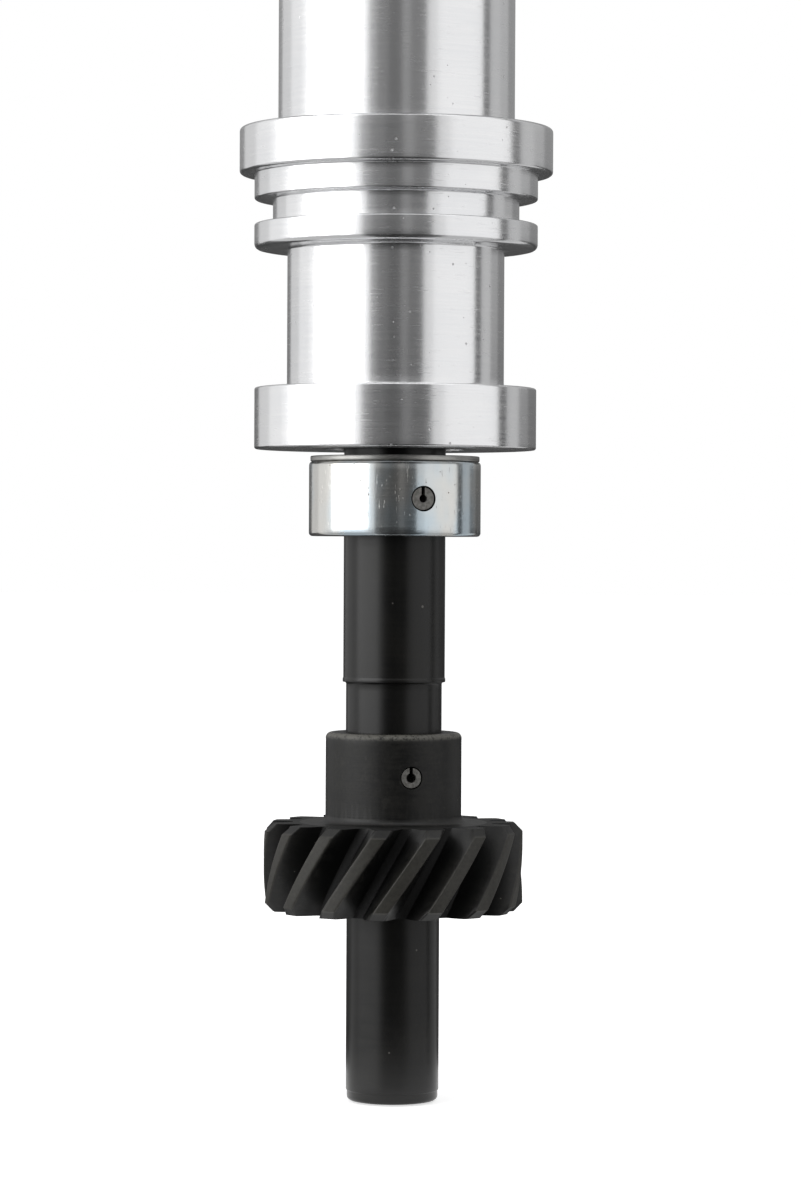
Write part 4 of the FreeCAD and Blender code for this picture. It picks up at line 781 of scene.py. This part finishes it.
# A tower starts below the deck and keeps its foot just above it, so that the two join cleanly.
tower_low, foot_top, stud_radius = 122.2, 122.88, 3.2
tower_circle, tower_top, coil_tower_top = 29.0, 141.85, 144.85
tower_azimuths = [22.5 + 45 * i for i in range(8)]
bm = bmesh.new()
add_turned(bm, cap_line, steps=224)
cap = object_of(bm, "cap_moulded")
tower_line = [
    (stud_radius, tower_low, 0), (10.6, tower_low, 0), (10.6, foot_top, 0), (7.6, foot_top, 2.2),
    (6.55, 136.2, 0.2), (6.95, 136.5, 0.25), (6.9, 137.8, 0.25), (6.45, 138.1, 0.2),
    (6.2, tower_top, 0.8), (stud_radius, tower_top, 0.3),
]
coil_tower_line = [
    (coil_stud_radius, tower_low, 0), (12.5, tower_low, 0), (12.5, foot_top, 0), (9.0, foot_top, 2.5),
    (7.95, 138.6, 0.2), (8.35, 138.9, 0.25), (8.3, 140.4, 0.25), (7.9, 140.7, 0.2),
    (7.6, coil_tower_top, 0.9), (coil_stud_radius, coil_tower_top, 0.3),
]
rib_long, rib_wide, rib_high, rib_middle = 17, 2.4, 6, 15
towers, ribs, ears, holes = bmesh.new(), bmesh.new(), bmesh.new(), bmesh.new()
for azimuth in tower_azimuths:
    add_turned(towers, tower_line, steps=64, centre=around(tower_circle, azimuth))
    rib = bmesh.new()
    shape = Matrix.Diagonal((rib_long * MM, rib_wide * MM, rib_high * MM, 1))
    bmesh.ops.create_cube(rib, size=1.0, matrix=shape)
    soften(rib, [e for e in rib.edges if min(v.co.z for v in e.verts) > 0], 0.8)
    bmesh.ops.translate(rib, verts=rib.verts, vec=(rib_middle * MM, 0, (deck + 2) * MM))
    turn_by(rib, rib.verts, azimuth)
    merge_in(ribs, rib)
add_turned(towers, coil_tower_line, steps=80)
for side in (1, -1):
    merge_in(ears, ear_of(side, bowl_top, ear_thick))
    merge_in(holes, rod(ear_bore, 80, 110, (side * ear_circle, 0)))
for shape in (towers, ribs, ears):
    carve(cap, shape, "UNION")
carve(cap, holes)
even_shading(cap)
put_on(cap, cap_finish, "cap", ["cap", "cap_towers"])


# Terminals: turned brass studs that are moulded into the towers. Each has a neck that the clip of
# an ignition lead grips. The coil's terminal is bored from below for the carbon brush.
def turned_brass(place):
    rings = turning_marks(place, 4.0, 1.2)
    cloud = noise(place, 0.5, 3.0)
    dull = cloud.from_to(0.35, 0.75)
    colour = dull.between((0.80, 0.59, 0.27), (0.58, 0.39, 0.16))
    return {"Base Color": colour, "Roughness": 0.20 + dull * 0.18,
            "Normal": bump(rings, 0.006, 0.5)}


brass = finish_for("turned_brass", turned_brass, Metallic=1.0)
stud_low, neck_radius, brush_bore, brush_seat = 98.75, 2.2, 2.54, 123.6


def stud_end(low):
    """The line of a stud above its tower's top: a neck, and a head that the lead's clip snaps on."""
    return [(neck_radius, low, 0), (neck_radius, low + 2.6, 0.4), (stud_radius, low + 3.4, 0.4),
            (stud_radius, low + 8.0, 0.3), (2.0, low + 9.2, 0.3), (0, low + 9.2, 0)]


bm = bmesh.new()
stud_line = [(0, stud_low, 0), (stud_radius, stud_low, 0.4), (stud_radius, tower_top, 0)]
for azimuth in tower_azimuths:
    add_turned(bm, stud_line + stud_end(tower_top), steps=56, closed=False,
               centre=around(tower_circle, azimuth))
studs = object_of(bm, "plug_terminals_turned")
even_shading(studs)
put_on(studs, brass, "cap", ["plug_terminals"])
bm = bmesh.new()
add_turned(bm, [(brush_bore, socket_low, 0.2), (coil_stud_radius, socket_low, 0.2),
                (coil_stud_radius, coil_tower_top, 0), *stud_end(coil_tower_top),
                (0, brush_seat, 0), (brush_bore, brush_seat, 0.1)], steps=64)
stud = object_of(bm, "coil_terminal_turned")
even_shading(stud)
put_on(stud, brass, "cap", ["coil_terminal"])


# Screws: zinc-plated steel with slotted heads and full threads. Two hold the cap, three the pickup
# plate and two the pickup.
def add_screw(bm, centre, turn, seat, length, shank, head, head_height):
    """A slotted screw whose head stands on the seat's level. shank and head are radii."""
    pitch, root = shank * 0.3, shank * 0.84
    point, top = seat - length, seat + head_height
    first_root = point + 0.4
    crests = int((length - 1.2) / pitch)
    line = [(0, point, 0), (shank - 0.5, point, 0)]
    for i in range(crests):
        level = first_root + pitch * i
        line += [(root, level, 0), (shank, level + pitch / 2, 0)]
    line += [(root, first_root + pitch * crests, 0), (shank * 0.9, seat, 0)]
    line += [(head, seat, 0.15), (head, top, head * 0.14), (0, top, 0)]
    part = bmesh.new()
    add_turned(part, line, steps=40, closed=False)
    screw = object_of(part, "screw")
    slot = bmesh.new()
    shape = Matrix.Diagonal((3 * head * MM, head * 0.28 * MM, head_height * 0.9 * MM, 1))
    bmesh.ops.create_cube(slot, size=1.0, matrix=shape)
    turn_by(slot, slot.verts, turn)
    bmesh.ops.translate(slot, verts=slot.verts, vec=(0, 0, top * MM))
    carve(screw, slot)
    part = bmesh.new()
    part.from_mesh(screw.data)
    bpy.data.objects.remove(screw)
    bmesh.ops.translate(part, verts=part.verts, vec=Vector((*centre, 0)) * MM)
    merge_in(bm, part)


def put_screws(name, body, node):
    screws = object_of(bm, name)
    even_shading(screws)
    put_on(screws, zinc, body, [node])


bm = bmesh.new()
for side, turn in ((1, 35), (-1, -20)):
    add_screw(bm, (side * ear_circle, 0), turn, seat=cap_seat, length=14.0, shank=2.4, head=4.4,
              head_height=3.6)
put_screws("cap_screws_slotted", "cap", "cap_screws")
bm = bmesh.new()
for azimuth, turn in zip(boss_azimuths, (15, 80, 140)):
    add_screw(bm, around(boss_circle, azimuth), turn, seat=75.05, length=8.0, shank=1.93, head=3.4,
              head_height=2.2)
put_screws("plate_screws_slotted", "housing", "plate_screws")
bm = bmesh.new()
for across, turn in ((-6.9, 60), (6.9, 110)):
    add_screw(bm, (across, 36.1), turn, seat=76.55, length=3.7, shank=1.43, head=2.5,
              head_height=1.8)
put_screws("pickup_screws_slotted", "housing", "pickup_screws")


# Lead grommet: soft black rubber with a lip on both sides of the bowl's wall, pressed into a hole
# where the pickup's lead leaves.
def soft_rubber(place):
    grain = noise(place, 4.0, 4.0, 0.7)
    cloud = noise(place, 0.4, 2.0)
    colour = cloud.from_to(0.3, 0.7).between((0.012, 0.012, 0.012), (0.028, 0.027, 0.026))
    return {"Base Color": colour, "Roughness": 0.62 + grain * 0.2,
            "Normal": bump(grain, 0.02, 0.5)}


rubber = finish_for("soft_rubber", soft_rubber, Specular_IOR_Level=0.35)
grommet_bore, lip_radius, inner_lip, outer_lip = 3.2, 6.0, 37.95, 44.6
bm = bmesh.new()
add_turned(bm, [(grommet_bore, inner_lip, 0.5), (lip_radius, inner_lip, 0.7),
                (lip_radius, inner_lip + 1.6, 0.3), (lead_hole, inner_lip + 1.6, 0.1),
                (lead_hole, bowl_radius, 0.1), (lip_radius, bowl_radius, 0.3),
                (lip_radius, outer_lip, 0.8), (grommet_bore, outer_lip, 0.7)], steps=72)
grommet = object_of(lie(bm, lead_azimuth, lead_level), "lead_grommet_rubber")
even_shading(grommet, angle=60)
put_on(grommet, rubber, "housing", ["lead_grommet"])


# Lower bushing: a long sleeve of oiled sintered bronze, pressed into the housing's bore. It is the
# shaft's plain bearing.
oiled_bronze = grained("oiled_bronze", (6.0, 3.0, 0.7), ((0.42, 0.25, 0.11), (0.62, 0.42, 0.22)),
                       (0.35, 0.15), (0.01, 0.4), edge=0.35, Metallic=1.0)
dress(oiled_bronze, "lower_bushing")


# Ball bearing: hardened and ground races and balls. The cage is pressed from sheet, and a snap ring
# of phosphated spring steel keeps the bearing in its seat.
def hardened_steel(place):
    rings = turning_marks(place, 6.0, 1.5)
    cloud = noise(place, 0.8, 3.0)
    colour = cloud.from_to(0.3, 0.7).between((0.52, 0.52, 0.53), (0.66, 0.66, 0.66))
    return {"Base Color": colour, "Roughness": 0.12 + cloud * 0.12,
            "Normal": bump(rings, 0.002, 0.4)}


def pressed_sheet(place):
    cloud = noise(place, 0.5, 4.0, 0.6)
    fine = noise(place, 5.0, 2.0)
    colour = cloud.from_to(0.3, 0.7).between((0.30, 0.30, 0.29), (0.44, 0.43, 0.41))
    return {"Base Color": colour, "Roughness": 0.30 + cloud * 0.15,
            "Normal": bump(fine, 0.008, 0.4)}


hardened = finish_for("hardened_steel", hardened_steel, Metallic=1.0)
sheet_steel = finish_for("pressed_sheet", pressed_sheet, Metallic=1.0)
phosphated = grained("phosphated_spring_steel", (3.0, 4.0, 0.6),
                     ((0.10, 0.098, 0.092), (0.19, 0.185, 0.175)), (0.32, 0.2), (0.01, 0.4),
                     Metallic=0.85)
dress(hardened, "bearing_outer_race", "bearing_inner_race", "bearing_balls", "drive_pin_left",
      "drive_pin_right")
dress(sheet_steel, "bearing_cage", "pickup_bracket", "weight_pivots", "spring_posts", "stop_pin")
dress(phosphated, "bearing_snap_ring", "weight_clips", "sleeve_clip")


# Advance base: a machined steel plate with yellow zinc plating, pressed onto the shaft. It carries
# the pivots of the two weights.
def yellow_plate(place):
    hue = noise(place, 0.14, 3.0)
    fine = noise(place, 2.5, 4.0, 0.65)
    marks = marks_along(radius_at(place), 2.5, 0.7)
    first = hue.from_to(0.32, 0.52).between((0.62, 0.52, 0.20), (0.66, 0.50, 0.16))
    second = hue.from_to(0.50, 0.66).between(first, (0.60, 0.44, 0.27))
    colour = (fine.from_to(0.62, 0.72) * 0.5).between(second, (0.38, 0.33, 0.20))
    return {"Base Color": colour, "Roughness": 0.25 + fine * 0.2,
            "Normal": bump(marks * 0.6 + fine * 0.4, 0.010, 0.5)}


dress(finish_for("yellow_zinc_plate", yellow_plate, Metallic=1.0), "advance_base")


# Weights and sleeve: pressed and sintered steel, left plain and lightly oiled. The sleeve's cam
# plate has a slot for each weight's drive pin.
def sintered_steel(place):
    pores = noise(place, 4.5, 3.0, 0.75)
    cloud = noise(place, 0.25, 3.0)
    colour = (cloud * 0.6 + pores * 0.4).from_to(0.32, 0.68).between((0.23, 0.225, 0.215),
                                                                    (0.36, 0.35, 0.335))
    return {"Base Color": colour, "Roughness": 0.30 + pores * 0.25,
            "Normal": bump(pores, 0.02, 0.5)}


sintered = finish_for("sintered_steel", sintered_steel, Metallic=1.0)
dress(sintered, "weight_left", "weight_right", "advance_sleeve")


# Stop bushing: a small tube of dark nylon, pushed over the stop pin. It limits how far the sleeve
# turns forward.
nylon_tones = (0.018, 0.017, 0.016), (0.036, 0.034, 0.032)
dress(grained("dark_nylon", (4.0, 3.0), nylon_tones, (0.42, 0.15), (0.01, 0.3)), "stop_bushing")


# Oil felt: a disc of pressed wool, tucked into the sleeve's top and soaked in oil for the shaft's
# journal below it.
def oiled_felt(place):
    fibre = noise(place, 3.5, 6.0, 0.8)
    cloud = noise(place, 0.6, 2.0)
    colour = (fibre * 0.6 + cloud * 0.4).from_to(0.3, 0.7).between((0.30, 0.26, 0.17),
                                                                  (0.52, 0.47, 0.36))
    return {"Base Color": colour, "Roughness": 0.80 + fibre * 0.15,
            "Normal": bump(fibre, 0.12, 0.9)}


dress(finish_for("oiled_felt", oiled_felt), "oil_felt")


# Advance springs: coils of spring steel wire with an eye at each end, from a weight's pivot to a
# post on the sleeve. The real ones stretch as the sleeve turns forward; these keep one shape.
def copied(node, name):
    """A copy of a CAD node's mesh with its loose triangles joined."""
    bm = bmesh.new()
    bm.from_mesh(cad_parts[node].data)
    bmesh.ops.remove_doubles(bm, verts=bm.verts, dist=1e-7)
    return object_of(bm, name, 40)


for side, sign in (("left", 1), ("right", -1)):
    spring = copied("advance_spring_" + side, "advance_spring_coil_" + side)
    spring.data.materials.clear()
    spring.data.materials.append(phosphated)
    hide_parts("advance_spring_" + side)
    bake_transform(spring)


# Reluctor: a star of soft sintered steel, fixed on the sleeve. Its eight points pass the pickup's
# core one after the other.
dress(sintered, "reluctor")


# Pickup plate: stamped from aluminium sheet and brushed on its flat sides. It lies on the bowl's
# ledge and is screwed to the three bosses there.
def brushed_sheet(place):
    lines = noise(stretched(place, (0.15, 6.0, 6.0)), 1.0, 3.0, 0.6)
    cloud = noise(place, 0.12, 3.0)
    colour = (lines * 0.6 + cloud * 0.4).from_to(0.3, 0.7).between((0.68, 0.68, 0.69),
                                                                  (0.82, 0.82, 0.82))
    return {"Base Color": colour, "Roughness": 0.26 + lines * 0.16,
            "Normal": bump(lines, 0.01, 0.5)}


dress(finish_for("brushed_sheet", brushed_sheet, Metallic=1.0), "pickup_plate")


# Pickup: a nylon bobbin with its winding of enamelled copper wire on a soft iron core, and a
# pressed ferrite magnet against the bracket.
coil_level, winding_radius, winding_start, winding_end, wire_pitch = 81.05, 4.9, 19.72, 26.68, 0.42


def wound_bobbin(place):
    across, along, up = part_of(place, "X"), part_of(place, "Y"), part_of(place, "Z") - coil_level
    reach = (across * across + up * up) ** 0.5
    wire = (reach < winding_radius) * (along > winding_start) * (along < winding_end)
    turn = place.maths("SINE", along * (math.tau / wire_pitch))
    grain = noise(place, 4.0, 3.0)
    # Painted shade: the copper darkens where the bump sinks between the turns of wire.
    copper_with_painted_shade = (turn * 0.5 + 0.5).between((0.10, 0.030, 0.012), (0.46, 0.17, 0.07))
    body = grain.from_to(0.3, 0.7).between(*nylon_tones)
    return {"Base Color": wire.between(body, copper_with_painted_shade), "Roughness": 0.42 + grain * 0.15 - wire * 0.2,
            "Metallic": wire * 0.7,
            "Normal": bump(wire * turn + grain * 0.1, 0.08, 0.8)}


dress(finish_for("wound_bobbin", wound_bobbin), "pickup_coil")
soft_iron = grained("soft_iron", (3.0, 4.0, 0.6), ((0.30, 0.29, 0.28), (0.42, 0.41, 0.40)),
                    (0.28, 0.2), (0.01, 0.4), Metallic=1.0)
pressed_ferrite = grained("pressed_ferrite", (5.0, 5.0, 0.8),
                          ((0.022, 0.022, 0.023), (0.055, 0.054, 0.055)), (0.50, 0.25), (0.03, 0.5))
dress(soft_iron, "pickup_core")
dress(pressed_ferrite, "pickup_magnet")


# Rotor: moulded from dark brown phenolic resin, with a riveted brass contact that leads from the
# carbon brush to the terminals.
def moulded_resin(place):
    grain = noise(place, 4.0, 4.0, 0.7)
    flow = noise(stretched(place, (0.3, 0.3, 1.2)), 0.6, 3.0)
    colour = (grain * 0.4 + flow * 0.6).from_to(0.3, 0.7).between((0.040, 0.020, 0.012),
                                                                 (0.075, 0.038, 0.022))
    return {"Base Color": colour, "Roughness": 0.30 + grain * 0.15,
            "Normal": bump(grain, 0.012, 0.35)}


def rolled_brass(place):
    lines = noise(stretched(place, (0.2, 2.5, 2.5)), 1.0, 3.0, 0.6)
    haze = noise(place, 0.15, 2.0).from_to(0.35, 0.75)
    colour = haze.between((0.78, 0.58, 0.27), (0.66, 0.46, 0.20))
    return {"Base Color": colour, "Roughness": 0.20 + lines * 0.14 + haze * 0.06,
            "Normal": bump(lines, 0.006, 0.5)}


dress(finish_for("moulded_resin", moulded_resin), "rotor")
dress(finish_for("rolled_brass", rolled_brass, Metallic=1.0), "rotor_contact")


# Carbon brush and its spring: a pressed carbon rod that slides in the coil terminal's socket. The
# real spring shortens by as much as the brush is pushed in; this one keeps one shape.
pressed_carbon = grained("pressed_carbon", (5.0, 5.0, 0.8),
                         ((0.012, 0.012, 0.013), (0.034, 0.034, 0.036)), (0.38, 0.25), (0.02, 0.5))
dress(pressed_carbon, "carbon_brush")
spring = copied("brush_spring", "brush_spring_coil")
put_on(spring, phosphated, "cap", ["brush_spring"])
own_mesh(spring)
